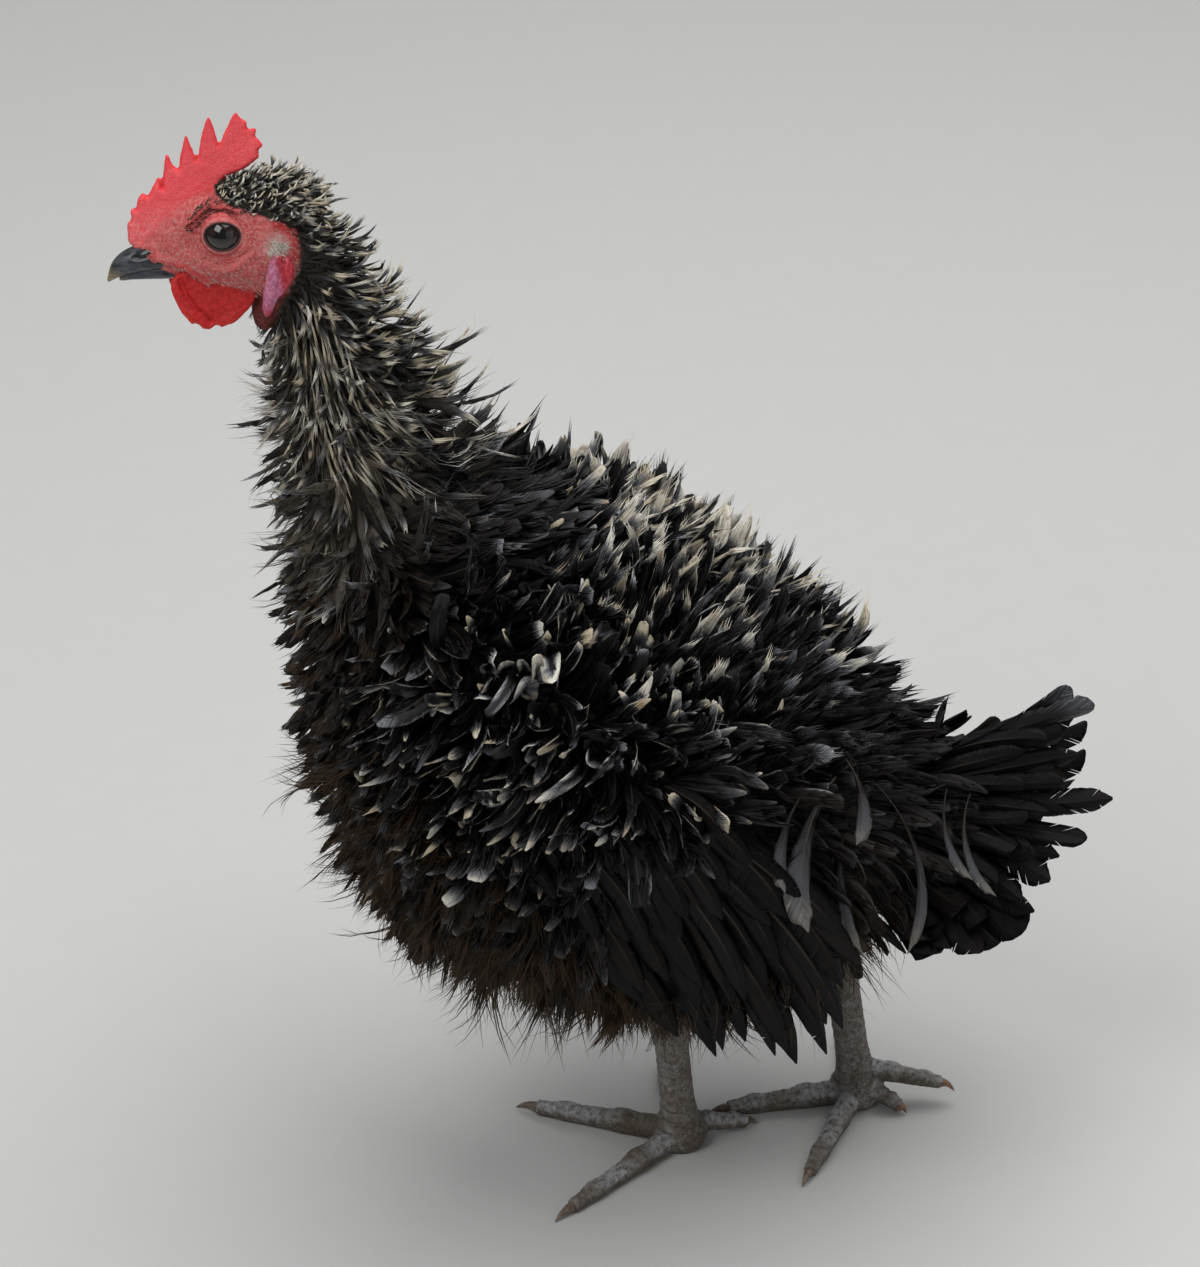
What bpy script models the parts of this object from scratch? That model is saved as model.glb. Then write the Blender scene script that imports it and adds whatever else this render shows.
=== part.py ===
"""A frizzle chicken, standing in mid step: a still, life-size model of a young cockerel.

The bird faces -X and its left side is towards -Y. The origin is on the floor, below the middle of its
bounding box. Tables and sizes are in millimetres, and the meshes are made in metres.
A frizzle's feathers curl outwards, so the coat is built as bent, tapered vanes that stand off the body.
"""

import math
import random

import bmesh
import bpy
from mathutils import Matrix, Vector
from mathutils.bvhtree import BVHTree
from mathutils.geometry import tessellate_polygon

MM = 0.001
GAP = 0.3
SINK = 5.0
SEED = 11
RING_SIDES = 20

# The body's core without feathers, from the nape to the tail's end.
# Each station has its upper point (x, z), its lower point (x, z) and its half width.
BODY = (
    (-101, 371, -124, 339, 12),
    (-89, 346, -117, 324, 14),
    (-79, 317, -111, 302, 16),
    (-71, 291, -110, 275, 19),
    (-61, 269, -108, 244, 25),
    (-45, 255, -106, 209, 36),
    (-25, 245, -100, 163, 46),
    (-2, 236, -82, 115, 53),
    (20, 223, -42, 79, 56),
    (44, 205, 10, 69, 53),
    (63, 186, 52, 79, 43),
    (80, 169, 80, 97, 30),
    (94, 157, 98, 113, 19),
    (104, 149, 109, 127, 11),
)
HEAD_END, NECK_END, RUMP_END, TAIL_END = 0.0, 4.5, 11.4, 13.0

# The head is built round the eye's centre, in its own frame, and rolled towards the bird's left.
EYE_LINE = (-128.6, 0, 356.8)
HEAD_ROLL = math.radians(-13)
HEAD = (
    (-28.5, -6.0, -20.5, -14.0, 4.2),
    (-24.0, -0.5, -15.0, -16.4, 6.6),
    (-17.5, 6.0, -8.0, -18.6, 9.2),
    (-9.5, 11.6, 0.0, -20.4, 11.4),
    (0.8, 15.4, 9.0, -22.0, 12.8),
    (11.0, 17.4, 17.5, -23.0, 13.4),
    (20.5, 16.6, 24.0, -22.0, 12.8),
    (28.0, 12.0, 27.5, -15.0, 10.0),
)
EYE_R, EYE_Y = 7.0, 8.2
LID_R, LID_TUBE, LID_STEPS = 6.3, 1.25, 12
COMB_OUTLINE = (
    (-31.5, -4.5), (-31.3, 1.7), (-30.3, 5.7), (-25.7, 11.3), (-24.3, 10.7), (-21.4, 16.6),
    (-19.9, 12.3), (-18.6, 23.8), (-14.4, 18.5), (-12.3, 30.3), (-9.0, 21.9), (-4.8, 35.8),
    (-1.7, 26.4), (3.9, 37.0), (7.2, 33.6), (10.2, 31.6), (11.8, 26.6), (10.9, 23.6),
    (8.3, 19.7), (-0.6, 16.3), (-1.5, 9.0), (-12.0, 3.0), (-22.0, -6.0), (-28.0, -8.0),
)
COMB_BASE_T, COMB_TIP_T = 4.6, 1.0
WATTLE_OUTLINE = (
    (-16.6, -15.5), (-18.6, -19.1), (-14.0, -25.7), (-9.9, -29.7), (-5.8, -31.7), (-1.8, -31.2),
    (2.1, -29.7), (6.4, -24.1), (9.4, -20.1), (5.0, -14.0), (-8.0, -12.0),
)
LOBE_OUTLINE = (
    (15.8, -8.0), (13.9, -14.0), (13.0, -20.4), (13.8, -25.7), (18.1, -20.4), (21.8, -12.6),
    (22.8, -8.0), (20.6, -4.6), (17.6, -4.4),
)
FLAP_T = 3.2
# Each flap's side, name, outline, slot, distance from the middle and outward lean.
FLAPS = (
    ("wattle", -1, "left", WATTLE_OUTLINE, "red_skin", 5.0, 0.1),
    ("wattle", 1, "right", WATTLE_OUTLINE, "red_skin", 6.5, 0.2),
    ("ear_lobe", -1, "left", LOBE_OUTLINE, "lobe_skin", 13.2, 0.1),
    ("ear_lobe", 1, "right", LOBE_OUTLINE, "lobe_skin", 14.5, 0.36),
)

# Bill: upper and lower edge of each mandible (x, z), and its half width, from the base to the tip.
UPPER_BILL = (
    (-17.0, -6.0, -12.6, -12.4, 4.8),
    (-24.0, -4.6, -19.4, -13.2, 4.6),
    (-29.8, -6.4, -26.0, -14.0, 4.0),
    (-34.0, -8.6, -31.4, -15.0, 3.0),
    (-37.2, -12.2, -35.4, -16.4, 1.6),
)
LOWER_BILL = (
    (-12.6, -13.0, -12.0, -16.2, 4.0),
    (-19.4, -13.7, -19.0, -17.0, 3.6),
    (-26.0, -14.5, -25.4, -17.2, 2.8),
    (-31.0, -15.6, -30.6, -17.3, 1.8),
    (-33.6, -16.6, -33.4, -17.8, 0.9),
)
BILL_TIP = (-38.8, -17.6)
LOWER_TIP = (-35.4, -18.2)
NOSTRIL, NOSTRIL_TURN = (-25.2, 4.3, -7.4), -0.4

# Legs: hip, knee, hock and foot, then each toe's tip (x, y) and its height at the root and the tip.
LEGS = {
    "left": {"hip": (10, -26, 114), "knee": (10, -28, 92), "hock": (16, -21, 66), "foot": (21, -11),
             "toes": {"inner": (15, 38, 0, 0), "middle": (-39, 9, 0, 0), "outer": (-24, -59, 0, 0),
                      "hind": (49, -1, 5, 0)}},
    "right": {"hip": (40, 24, 114), "knee": (57, 24, 94), "hock": (77, 17, 70), "foot": (86, 15),
              "toes": {"inner": (64, -39, 0, 0), "middle": (31, 4, 0, 0), "outer": (83, 62, 0, 0),
                       "hind": (104, 5, 5, 0), "extra": (122, 14, 11, 5)}},
}
TOE_R = {"inner": 4.2, "middle": 4.6, "outer": 4.3, "hind": 3.9, "extra": 3.9}
FOOT_R, FOOT_H = 10.5, 9.0
ANKLE_Z = 14.0
SHANK_R, HOCK_R, SHIN_R = 5.9, 8.2, 16.0
SCUTES, SCUTE_STEP = 9, 0.7

# Wing: the arm's line from the shoulder to the hand, with half height and half thickness.
WING_ARM = (
    (-64, -32, 229, 8, 5),
    (-48, -45, 215, 17, 8),
    (-20, -54, 189, 25, 9),
    (8, -57, 163, 24, 9),
    (30, -56, 141, 16, 7),
    (40, -54, 130, 5, 3),
)
# Flight feathers from the outermost primary to the innermost secondary: roots and tips on two lines.
FLIGHT_ROOTS = ((-6, -57, 150), (12, -57, 152), (28, -57, 156), (34, -57, 164))
FLIGHT_TIPS = ((13, -60, 65), (34, -60, 65), (55, -60, 66), (67, -60, 70), (76, -60, 96),
               (80, -60, 121), (78, -60, 148))
FLIGHT_COUNT, FLIGHT_W, FLIGHT_T, FLIGHT_STEP = 10, 17.0, 1.1, 1.5
COVERT_ROWS = 6

# Tail feathers of the left side, from the middle pair down to the outermost: tips and roots.
TAIL_TIPS = ((160, -3, 181), (165, -8, 160), (167, -15, 145), (159, -23, 127), (144, -31, 107),
             (128, -37, 98), (110, -40, 97))
TAIL_ROOTS = ((94, -2.6, 151), (97, -6, 148), (99, -8.5, 144), (99, -10, 139), (98, -11, 134),
              (96, -11, 129), (93, -10, 124))
TAIL_W, TAIL_T, TAIL_STEP, TAIL_DROOP = 18.0, 1.2, 1.4, 3.5

COLOURS = {
    "black_plumage": ((0.012, 0.012, 0.014), 0.55),
    "neck_plumage": ((0.05, 0.042, 0.034), 0.7),
    "red_skin": ((0.55, 0.03, 0.03), 0.5),
    "face_skin": ((0.42, 0.1, 0.09), 0.6),
    "lobe_skin": ((0.42, 0.13, 0.22), 0.5),
    "horn": ((0.03, 0.032, 0.036), 0.3),
    "eye": ((0.01, 0.007, 0.005), 0.08),
    "leg_scale": ((0.12, 0.115, 0.1), 0.6),
}


def clear_scene():
    for found in list(bpy.data.objects):
        bpy.data.objects.remove(found, do_unlink=True)


def material(name):
    made = bpy.data.materials.get(name)
    if made:
        return made
    colour, roughness = COLOURS[name]
    made = bpy.data.materials.new(name)
    made.use_nodes = True
    shader = made.node_tree.nodes["Principled BSDF"]
    shader.inputs["Base Color"].default_value = (*colour, 1)
    shader.inputs["Roughness"].default_value = roughness
    shader.inputs["Metallic"].default_value = 0
    return made


def mesh_object(name, points, faces, slot=None, frame=None):
    """A mesh from points in millimetres, with its faces turned outwards."""
    mesh = bpy.data.meshes.new(name)
    place = frame or Matrix.Identity(4)
    mesh.from_pydata([(place @ Vector(p)) * MM for p in points], [], faces)
    work = bmesh.new()
    work.from_mesh(mesh)
    bmesh.ops.recalc_face_normals(work, faces=work.faces)
    work.to_mesh(mesh)
    work.free()
    made = bpy.data.objects.new(name, mesh)
    CHICKEN.objects.link(made)
    if slot:
        mesh.materials.append(material(slot))
    return made


def spline(rows, at):
    """The rows' values at a fractional index, on a smooth curve through them all."""
    last = len(rows) - 1
    at = min(max(at, 0.0), float(last))
    i = min(int(at), last - 1)
    t = at - i
    a, b, c, d = rows[max(i - 1, 0)], rows[i], rows[i + 1], rows[min(i + 2, last)]
    return tuple(
        0.5 * (2 * q + (r - p) * t + (2 * p - 5 * q + 4 * r - s) * t * t + (3 * q - p - 3 * r + s) * t ** 3)
        for p, q, r, s in zip(a, b, c, d)
    )


def ring(station, sides=RING_SIDES, grow=0.0):
    """The outline of one station: an ellipse between its upper and lower point."""
    ux, uz, lx, lz, half = station
    middle = Vector(((ux + lx) / 2, 0, (uz + lz) / 2))
    up = Vector(((ux - lx) / 2, 0, (uz - lz) / 2))
    up *= 1 + grow / up.length
    found = []
    for k in range(sides):
        turn = 2 * math.pi * k / sides
        found.append(middle + up * math.cos(turn) + Vector((0, (half + grow) * math.sin(turn), 0)))
    return found


def skin_rings(rings, tip=None):
    """Points and faces of a closed form through rings of equal count, with an optional end point."""
    sides = len(rings[0])
    points = [p for r in rings for p in r]
    faces = [tuple(range(sides))]
    for i in range(len(rings) - 1):
        for k in range(sides):
            a, b = i * sides + k, i * sides + (k + 1) % sides
            faces.append((a, b, b + sides, a + sides))
    base = (len(rings) - 1) * sides
    if tip is None:
        faces.append(tuple(base + k for k in range(sides)))
    else:
        points.append(tip)
        faces += [(base + k, base + (k + 1) % sides, len(points) - 1) for k in range(sides)]
    return points, faces


def loft(name, rows, begin, end, steps, slot=None, sides=RING_SIDES, grow=0.0, frame=None, tip=None):
    stops = [begin + (end - begin) * k / steps for k in range(steps + 1)]
    rings = [ring(spline(rows, s), sides, grow) for s in stops]
    return mesh_object(name, *skin_rings(rings, tip), slot, frame)


def tube_rings(line, sides=10, turn=0.0, flat=1.0):
    """Rings round a line of rows (x, y, z, radius), square to it. flat squeezes each ring in its up direction."""
    points = [Vector(r[:3]) for r in line]
    found = []
    for i, row in enumerate(line):
        along = (points[min(i + 1, len(line) - 1)] - points[max(i - 1, 0)]).normalized()
        side = along.cross(Vector((0, 0, 1)))
        side = side.normalized() if side.length > 0.05 else Vector((0, 1, 0))
        up = side.cross(along)
        angles = [turn + 2 * math.pi * k / sides for k in range(sides)]
        found.append([points[i] + (side * math.cos(a) + up * math.sin(a) * flat) * row[3] for a in angles])
    return found


def baked(work_object):
    """Applies an object's modifiers."""
    bpy.context.view_layer.update()
    seen = work_object.evaluated_get(bpy.context.evaluated_depsgraph_get())
    mesh = bpy.data.meshes.new_from_object(seen)
    work_object.modifiers.clear()
    work_object.data = mesh


def keep_largest(work_object):
    """Leaves only the largest closed surface, so that scraps and sealed hollows go."""
    work = bmesh.new()
    work.from_mesh(work_object.data)
    seen, best, most = set(), [], -1.0
    for first in work.verts:
        if first in seen:
            continue
        group, queue = [], [first]
        seen.add(first)
        while queue:
            here = queue.pop()
            group.append(here)
            for edge in here.link_edges:
                other = edge.other_vert(here)
                if other not in seen:
                    seen.add(other)
                    queue.append(other)
        faces = {f for v in group for f in v.link_faces}
        area = sum(f.calc_area() for f in faces)
        if area > most:
            best, most = group, area
    keep = set(best)
    bmesh.ops.delete(work, geom=[v for v in work.verts if v not in keep], context="VERTS")
    work.to_mesh(work_object.data)
    work.free()


def combine(target, others, operation="UNION"):
    """One Boolean of a collection on target, applied, after which the others are removed."""
    group = bpy.data.collections.new("joined")
    bpy.context.scene.collection.children.link(group)
    for other in others:
        group.objects.link(other)
    change = target.modifiers.new("combine", "BOOLEAN")
    change.operation = operation
    change.solver = "MANIFOLD"
    change.operand_type = "COLLECTION"
    change.collection = group
    baked(target)
    keep_largest(target)
    for other in list(group.objects):
        group.objects.unlink(other)
        bpy.data.objects.remove(other, do_unlink=True)
    bpy.data.collections.remove(group)
    return target


def cut_behind(work_object, point, direction):
    """Removes what lies beyond a plane, and closes the cut."""
    work = bmesh.new()
    work.from_mesh(work_object.data)
    everything = work.verts[:] + work.edges[:] + work.faces[:]
    bmesh.ops.bisect_plane(work, geom=everything, plane_co=Vector(point) * MM,
                           plane_no=direction, clear_outer=True)
    bmesh.ops.holes_fill(work, edges=[e for e in work.edges if e.is_boundary])
    bmesh.ops.recalc_face_normals(work, faces=work.faces)
    work.to_mesh(work_object.data)
    work.free()


# Feathers


def feather_parts(line, across, widths, thickness):
    """A closed vane along a line: flat below, with a ridge along its shaft above, and a tip."""
    points, faces = [], []
    last = len(line) - 1
    for i in range(last):
        along = (line[i + 1] - line[max(i - 1, 0)]).normalized()
        side = (across - along * across.dot(along)).normalized()
        half = side * widths[i] / 2
        points += [line[i] + half, line[i] + side.cross(along) * thickness, line[i] - half]
    points.append(line[last])
    faces.append((0, 1, 2))
    for i in range(last - 1):
        a, b = 3 * i, 3 * i + 3
        for here, there in ((0, 1), (2, 1), (0, 2)):
            faces += [(a + here, a + there, b + there), (a + here, b + there, b + here)]
    base, tip = 3 * (last - 1), 3 * last
    faces += [(base + k, base + (k + 1) % 3, tip) for k in range(3)]
    return points, faces


def curl_line(root, start, finish, length, steps):
    """Points of a curved shaft that sets out along start and ends along finish."""
    line, here = [root.copy()], root.copy()
    for k in range(steps):
        share = (k + 0.5) / steps
        here = here + start.lerp(finish, share).normalized() * length / steps
        line.append(here.copy())
    return line


PLUME_SHAPE = ((0.0, 0.4), (0.3, 0.85), (0.6, 1.0), (0.84, 0.72), (1.0, 0.0))
SPIKY_SHAPE = ((0.0, 0.45), (0.38, 1.0), (0.72, 0.85), (1.0, 0.0))
VANE_SHAPE = ((0.0, 0.22), (0.2, 0.7), (0.45, 1.0), (0.72, 1.0), (0.91, 0.78), (1.0, 0.0))


def resample(line, shares):
    """Points at shares of a line's own length, taken between its points."""
    last = len(line) - 1
    found = []
    for share in shares:
        at = share * last
        i = min(int(at), last - 1)
        found.append(line[i].lerp(line[i + 1], at - i))
    return found


def side_of(along, across):
    """The way a vane's ridge points."""
    return (across - along * across.dot(along)).cross(along).normalized()


class Plumage:
    """The feathers and cores already placed, so that a new feather can be kept clear of other nodes."""

    def __init__(self):
        self.placed = []
        self.made = {}
        self.skipped = 0

    def add_solid(self, node, work_object):
        work = bmesh.new()
        work.from_mesh(work_object.data)
        work.transform(work_object.matrix_world)
        points = [v.co / MM for v in work.verts]
        work.verts.index_update()
        faces = [[v.index for v in f.verts] for f in work.faces]
        work.free()
        self.remember(node, points, faces)

    def remember(self, node, points, faces):
        low = Vector([min(p[k] for p in points) for k in range(3)])
        high = Vector([max(p[k] for p in points) for k in range(3)])
        self.placed.append((node, low, high, BVHTree.FromPolygons(points, faces)))

    def hits(self, node, points, faces):
        low = [min(p[k] for p in points) for k in range(3)]
        high = [max(p[k] for p in points) for k in range(3)]
        if low[2] < GAP:
            return True
        tree = None
        for owner, lowest, highest, other in self.placed:
            if owner == node or any(low[k] > highest[k] or high[k] < lowest[k] for k in range(3)):
                continue
            tree = tree or BVHTree.FromPolygons(points, faces)
            if tree.overlap(other):
                return True
        return False

    def place(self, node, slot, root, normal, start, finish, length, width, thickness=1.3,
              shape=PLUME_SHAPE, tries=6):
        """Sets one feather in a node. Where it would cross another node it is lifted and shortened."""
        for attempt in range(tries):
            lift = 0.28 * attempt
            begin = (start + normal * lift).normalized()
            end = (finish + normal * lift).normalized()
            reach = length * (1 - 0.09 * attempt)
            wide = width * (1 - 0.08 * attempt)
            line = curl_line(root - normal * SINK, begin, end, reach + SINK, 8)
            line = resample(line, [s for s, _ in shape])
            across = (begin + end).cross(normal)
            if across.length < 0.1:
                across = begin.cross(Vector((0, 1, 0)))
            if side_of(begin, across).dot(normal) < 0:
                across.negate()
            longer = line[:-1] + [line[-1] + (line[-1] - line[-2]).normalized() * 1.2 * GAP]
            lowered = [p - side_of(begin, across) * 1.2 * GAP for p in longer]
            grown = feather_parts(lowered, across, [w * wide + 3 * GAP for _, w in shape],
                                  thickness + 2.4 * GAP)
            if self.hits(node, *grown):
                continue
            parts = feather_parts(line, across, [w * wide for _, w in shape], thickness)
            self.remember(node, *parts)
            made = mesh_object(f"{node}_feather", *parts, slot)
            self.made.setdefault(node, []).append(made)
            return True
        self.skipped += 1
        return False

    def place_vane(self, node, slot, line, normal, width, thickness):
        """Sets one flight or tail feather along a given line, with its flat side facing normal."""
        line = resample(line, [s for s, _ in VANE_SHAPE])
        across = (line[-1] - line[0]).cross(normal)
        if side_of((line[-1] - line[0]).normalized(), across).dot(normal) < 0:
            across.negate()
        parts = feather_parts(line, across, [w * width for _, w in VANE_SHAPE], thickness)
        self.remember(node, *parts)
        self.made.setdefault(node, []).append(mesh_object(f"{node}_vane", *parts, slot))

    def fuse(self, node, core):
        combine(core, self.made.pop(node, []))


CHICKEN = None


def body_point(s, turn, grow=0.0):
    """A point of the body's core: s is the place along BODY, and turn is 0 on the back."""
    ux, uz, lx, lz, half = spline(BODY, s)
    middle = Vector(((ux + lx) / 2, 0, (uz + lz) / 2))
    up = Vector(((ux - lx) / 2, 0, (uz - lz) / 2))
    up *= 1 + grow / up.length
    return middle + up * math.cos(turn) + Vector((0, (half + grow) * math.sin(turn), 0))


def body_frame(s, turn):
    """The point, the outward normal and the direction towards the tail."""
    here = body_point(s, turn)
    along = body_point(s + 0.05, turn) - body_point(s - 0.05, turn)
    around = body_point(s, turn + 0.05) - body_point(s, turn - 0.05)
    normal = around.cross(along).normalized()
    if normal.dot(here - body_point(s, turn, -5.0)) < 0:
        normal = -normal
    return here, normal, along.normalized()


def make_cores():
    """The neck, torso and tail root: one form, parted by thin cuts."""
    neck = loft("neck", BODY, HEAD_END, NECK_END, 9, "neck_plumage", 16)
    torso = loft("torso", BODY, NECK_END + 0.014, RUMP_END, 13, "black_plumage", 18)
    tail = loft("tail", BODY, RUMP_END + 0.02, TAIL_END, 3, "black_plumage", 14)
    return neck, torso, tail


def neck_cut():
    """The plane that parts the head from the neck."""
    ux, uz, lx, lz, _ = BODY[0]
    down = Vector((lx - ux, 0, lz - uz)).normalized()
    return Vector((ux, 0, uz)), Vector((-down.z, 0, down.x))


def head_frame():
    return Matrix.Translation(EYE_LINE) @ Matrix.Rotation(HEAD_ROLL, 4, "X")


def sphere(name, centre, radii, frame, slot=None, u=14, v=8):
    made = bmesh.new()
    bmesh.ops.create_uvsphere(made, u_segments=u, v_segments=v, radius=1)
    points = [(p.co.x * radii[0] + centre[0], p.co.y * radii[1] + centre[1], p.co.z * radii[2] + centre[2])
              for p in made.verts]
    made.verts.index_update()
    faces = [[p.index for p in f.verts] for f in made.faces]
    made.free()
    return mesh_object(name, points, faces, slot, frame)


def lid_ring(side, frame):
    """The raised lids round one eye."""
    rings = []
    for k in range(LID_STEPS):
        a = 2 * math.pi * k / LID_STEPS
        out = Vector((math.cos(a), 0, math.sin(a) * 0.94))
        centre = out * LID_R + Vector((0, side * (EYE_Y + 4.3), 0))
        rings.append([centre + (out * math.cos(b) + Vector((0, math.sin(b), 0))) * LID_TUBE
                      for b in (2 * math.pi * j / 5 for j in range(5))])
    points = [p for r in rings for p in r]
    faces = [(5 * i + j, 5 * i + (j + 1) % 5, 5 * ((i + 1) % LID_STEPS) + (j + 1) % 5, 5 * ((i + 1) % LID_STEPS) + j)
             for i in range(LID_STEPS) for j in range(5)]
    return mesh_object("lid", points, faces, None, frame)


def plate(name, outline, half_thick, frame, slot, middle_y=0.0, lean=0.0):
    """A flat form with a rounded rim: its outline is thin and an inner outline has the full thickness."""
    centre = Vector((sum(p[0] for p in outline), sum(p[1] for p in outline))) / len(outline)
    count = len(outline)
    points = []
    for side in (-1, 1):
        for share, thick in ((1.0, 0.25), (0.62, 1.0)):
            for x, z in outline:
                px, pz = centre.x + (x - centre.x) * share, centre.y + (z - centre.y) * share
                y = middle_y + lean * (z - outline[0][1]) + side * thick * half_thick
                points.append((px, y, pz))
    faces = []
    for side in (0, 2 * count):
        faces += [(side + k, side + (k + 1) % count, side + count + (k + 1) % count, side + count + k)
                  for k in range(count)]
        faces.append(tuple(side + count + k for k in range(count)))
    faces += [(k, (k + 1) % count, 2 * count + (k + 1) % count, 2 * count + k) for k in range(count)]
    return mesh_object(name, points, faces, slot, frame)


def comb_thickness(z):
    share = min(max((z - 6) / 30, 0), 1)
    return COMB_BASE_T + (COMB_TIP_T - COMB_BASE_T) * share


def make_comb(frame):
    """The single comb: one plate, thick at its base and thin at its points."""
    triangles = tessellate_polygon([[Vector((x, z, 0)) for x, z in COMB_OUTLINE]])
    count = len(COMB_OUTLINE)
    points = [(x, side * comb_thickness(z) / 2, z) for side in (-1, 1) for x, z in COMB_OUTLINE]
    faces = [tuple(t) for t in triangles] + [tuple(k + count for k in t) for t in triangles]
    faces += [(k, (k + 1) % count, count + (k + 1) % count, count + k) for k in range(count)]
    return mesh_object("comb", points, faces, "red_skin", frame)


def make_bill(frame):
    """Both mandibles, with a nostril cut into each side of the upper one."""
    made = []
    for name, rows, tip in (("bill_upper", UPPER_BILL, BILL_TIP), ("bill_lower", LOWER_BILL, LOWER_TIP)):
        made.append(loft(name, rows, 0, len(rows) - 1, 8, "horn", 12, frame=frame, tip=Vector((tip[0], 0, tip[1]))))
    slits = []
    for side in (-1, 1):
        place = Matrix.Translation((NOSTRIL[0], side * NOSTRIL[1], NOSTRIL[2]))
        turned = frame @ place @ Matrix.Rotation(NOSTRIL_TURN, 4, "Y")
        slits.append(sphere("slit", (0, 0, 0), (3.4, 1.2, 0.9), turned, u=10, v=6))
    combine(made[0], slits, "DIFFERENCE")
    return made


def make_head(coat):
    """The head with its lids, and what grows from it, each cut to meet it."""
    frame = head_frame()
    point, away = neck_cut()
    head = loft("head", HEAD, 0, len(HEAD) - 1, 9, "face_skin", 14, frame=frame)
    combine(head, [lid_ring(side, frame) for side in (-1, 1)])
    eyes = [sphere(name, (0, side * EYE_Y, 0), (EYE_R,) * 3, frame, "eye", 12, 8)
            for side, name in ((-1, "eye_left"), (1, "eye_right"))]
    sockets = [sphere("socket", (0, side * EYE_Y, 0), (EYE_R + GAP,) * 3, frame) for side in (-1, 1)]
    combine(head, sockets, "DIFFERENCE")
    cut_behind(head, point - away * GAP, away)
    comb = make_comb(frame)
    bill = make_bill(frame)
    flaps = [plate(f"{kind}_{name}", outline, FLAP_T / 2, frame, slot, side * out, -side * lean)
             for kind, side, name, outline, slot, out, lean in FLAPS]
    for piece in (comb, *bill, *flaps):
        grown = loft("grown_head", HEAD, 0, len(HEAD) - 1, 9, None, 14, GAP, frame)
        combine(piece, [grown], "DIFFERENCE")
    bill_guard = [grown_copy(b, GAP) for b in bill]
    combine(comb, bill_guard, "DIFFERENCE")
    for piece in flaps:
        combine(piece, [grown_copy(bill[1], GAP), grown_neck()], "DIFFERENCE")
    for piece in (head, comb, *bill, *flaps, *eyes):
        coat.add_solid(piece.name, piece)
    return head


def grown_copy(work_object, by):
    """A copy of a form, moved outwards along its own normals."""
    made = work_object.copy()
    made.data = work_object.data.copy()
    CHICKEN.objects.link(made)
    work = bmesh.new()
    work.from_mesh(made.data)
    work.normal_update()
    moves = [v.normal * by * MM for v in work.verts]
    for v, move in zip(work.verts, moves):
        v.co += move
    work.to_mesh(made.data)
    work.free()
    return made


def grown_neck():
    return loft("grown_neck", BODY, HEAD_END, NECK_END, 9, None, 16, 1.5 * GAP)


def grown_torso():
    return loft("grown_torso", BODY, NECK_END + 0.004, RUMP_END + 0.01, 13, None, 18, 1.5 * GAP)


def toe_line(centre, tip, radius):
    """A toe from the foot's centre to its tip: rows of point and radius, lowest where it lies on the floor."""
    rows = []
    start, end = Vector((*centre, tip[2])), Vector((tip[0], tip[1], tip[3]))
    swell = (1.15, 1.0, 1.1, 0.9, 0.98, 0.75)
    for k, more in enumerate(swell):
        share = k / (len(swell) - 1) * 0.86
        here = start.lerp(end, share)
        thick = radius * more * (1 - 0.28 * share)
        rows.append((here.x, here.y, here.z + thick * 0.9, thick))
    return rows


def flatten(points):
    """Presses what lies below the floor up to it, for flat soles."""
    return [Vector((p[0], p[1], max(p[2], 0.0))) for p in points]


def make_toe(name, centre, tip, radius):
    rows = toe_line(centre, tip, radius)
    points, faces = skin_rings(tube_rings(rows, 8, math.pi / 8))
    return mesh_object(name, flatten(points), faces, "leg_scale"), rows


def make_claw(name, rows, tip):
    """A curved claw that grows from a toe's end and reaches down to the floor."""
    x, y, z, r = rows[-1]
    before = Vector(rows[-2][:3])
    along = (Vector((x, y, z)) - before).normalized()
    end = Vector((tip[0], tip[1], max(tip[3] - 1.0, 0.5)))
    line = []
    for k in range(5):
        share = k / 4
        here = Vector((x, y, z)).lerp(end, share)
        here.z += math.sin(share * math.pi) * 0.9
        line.append((*here, r * 0.74 * (1 - share) ** 0.8))
    line[0] = (*(Vector((x, y, z)) - along * 2), r * 0.74)
    points, faces = skin_rings(tube_rings(line[:-1], 6), tip=Vector(line[-1][:3]))
    return mesh_object(name, [Vector((p[0], p[1], max(p[2], 0.0))) for p in points], faces, "horn")


def shank_rows(hock, foot):
    """The bare shank from the hock to the foot, with the steps of the scutes on it."""
    top, bottom = Vector(hock), Vector((*foot, ANKLE_Z - 6))
    rows = []
    for k in range(SCUTES):
        share = k / SCUTES
        radius = SHANK_R + (HOCK_R - SHANK_R) * max(0, 1 - share * 3.2) + 1.6 * max(0, share - 0.75) * 4
        for part, step in ((0.0, SCUTE_STEP), (0.82, 0.0)):
            here = top.lerp(bottom, share + part / SCUTES)
            rows.append((*here, radius + step))
    rows.append((*bottom, SHANK_R + 2.4))
    return rows


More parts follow.
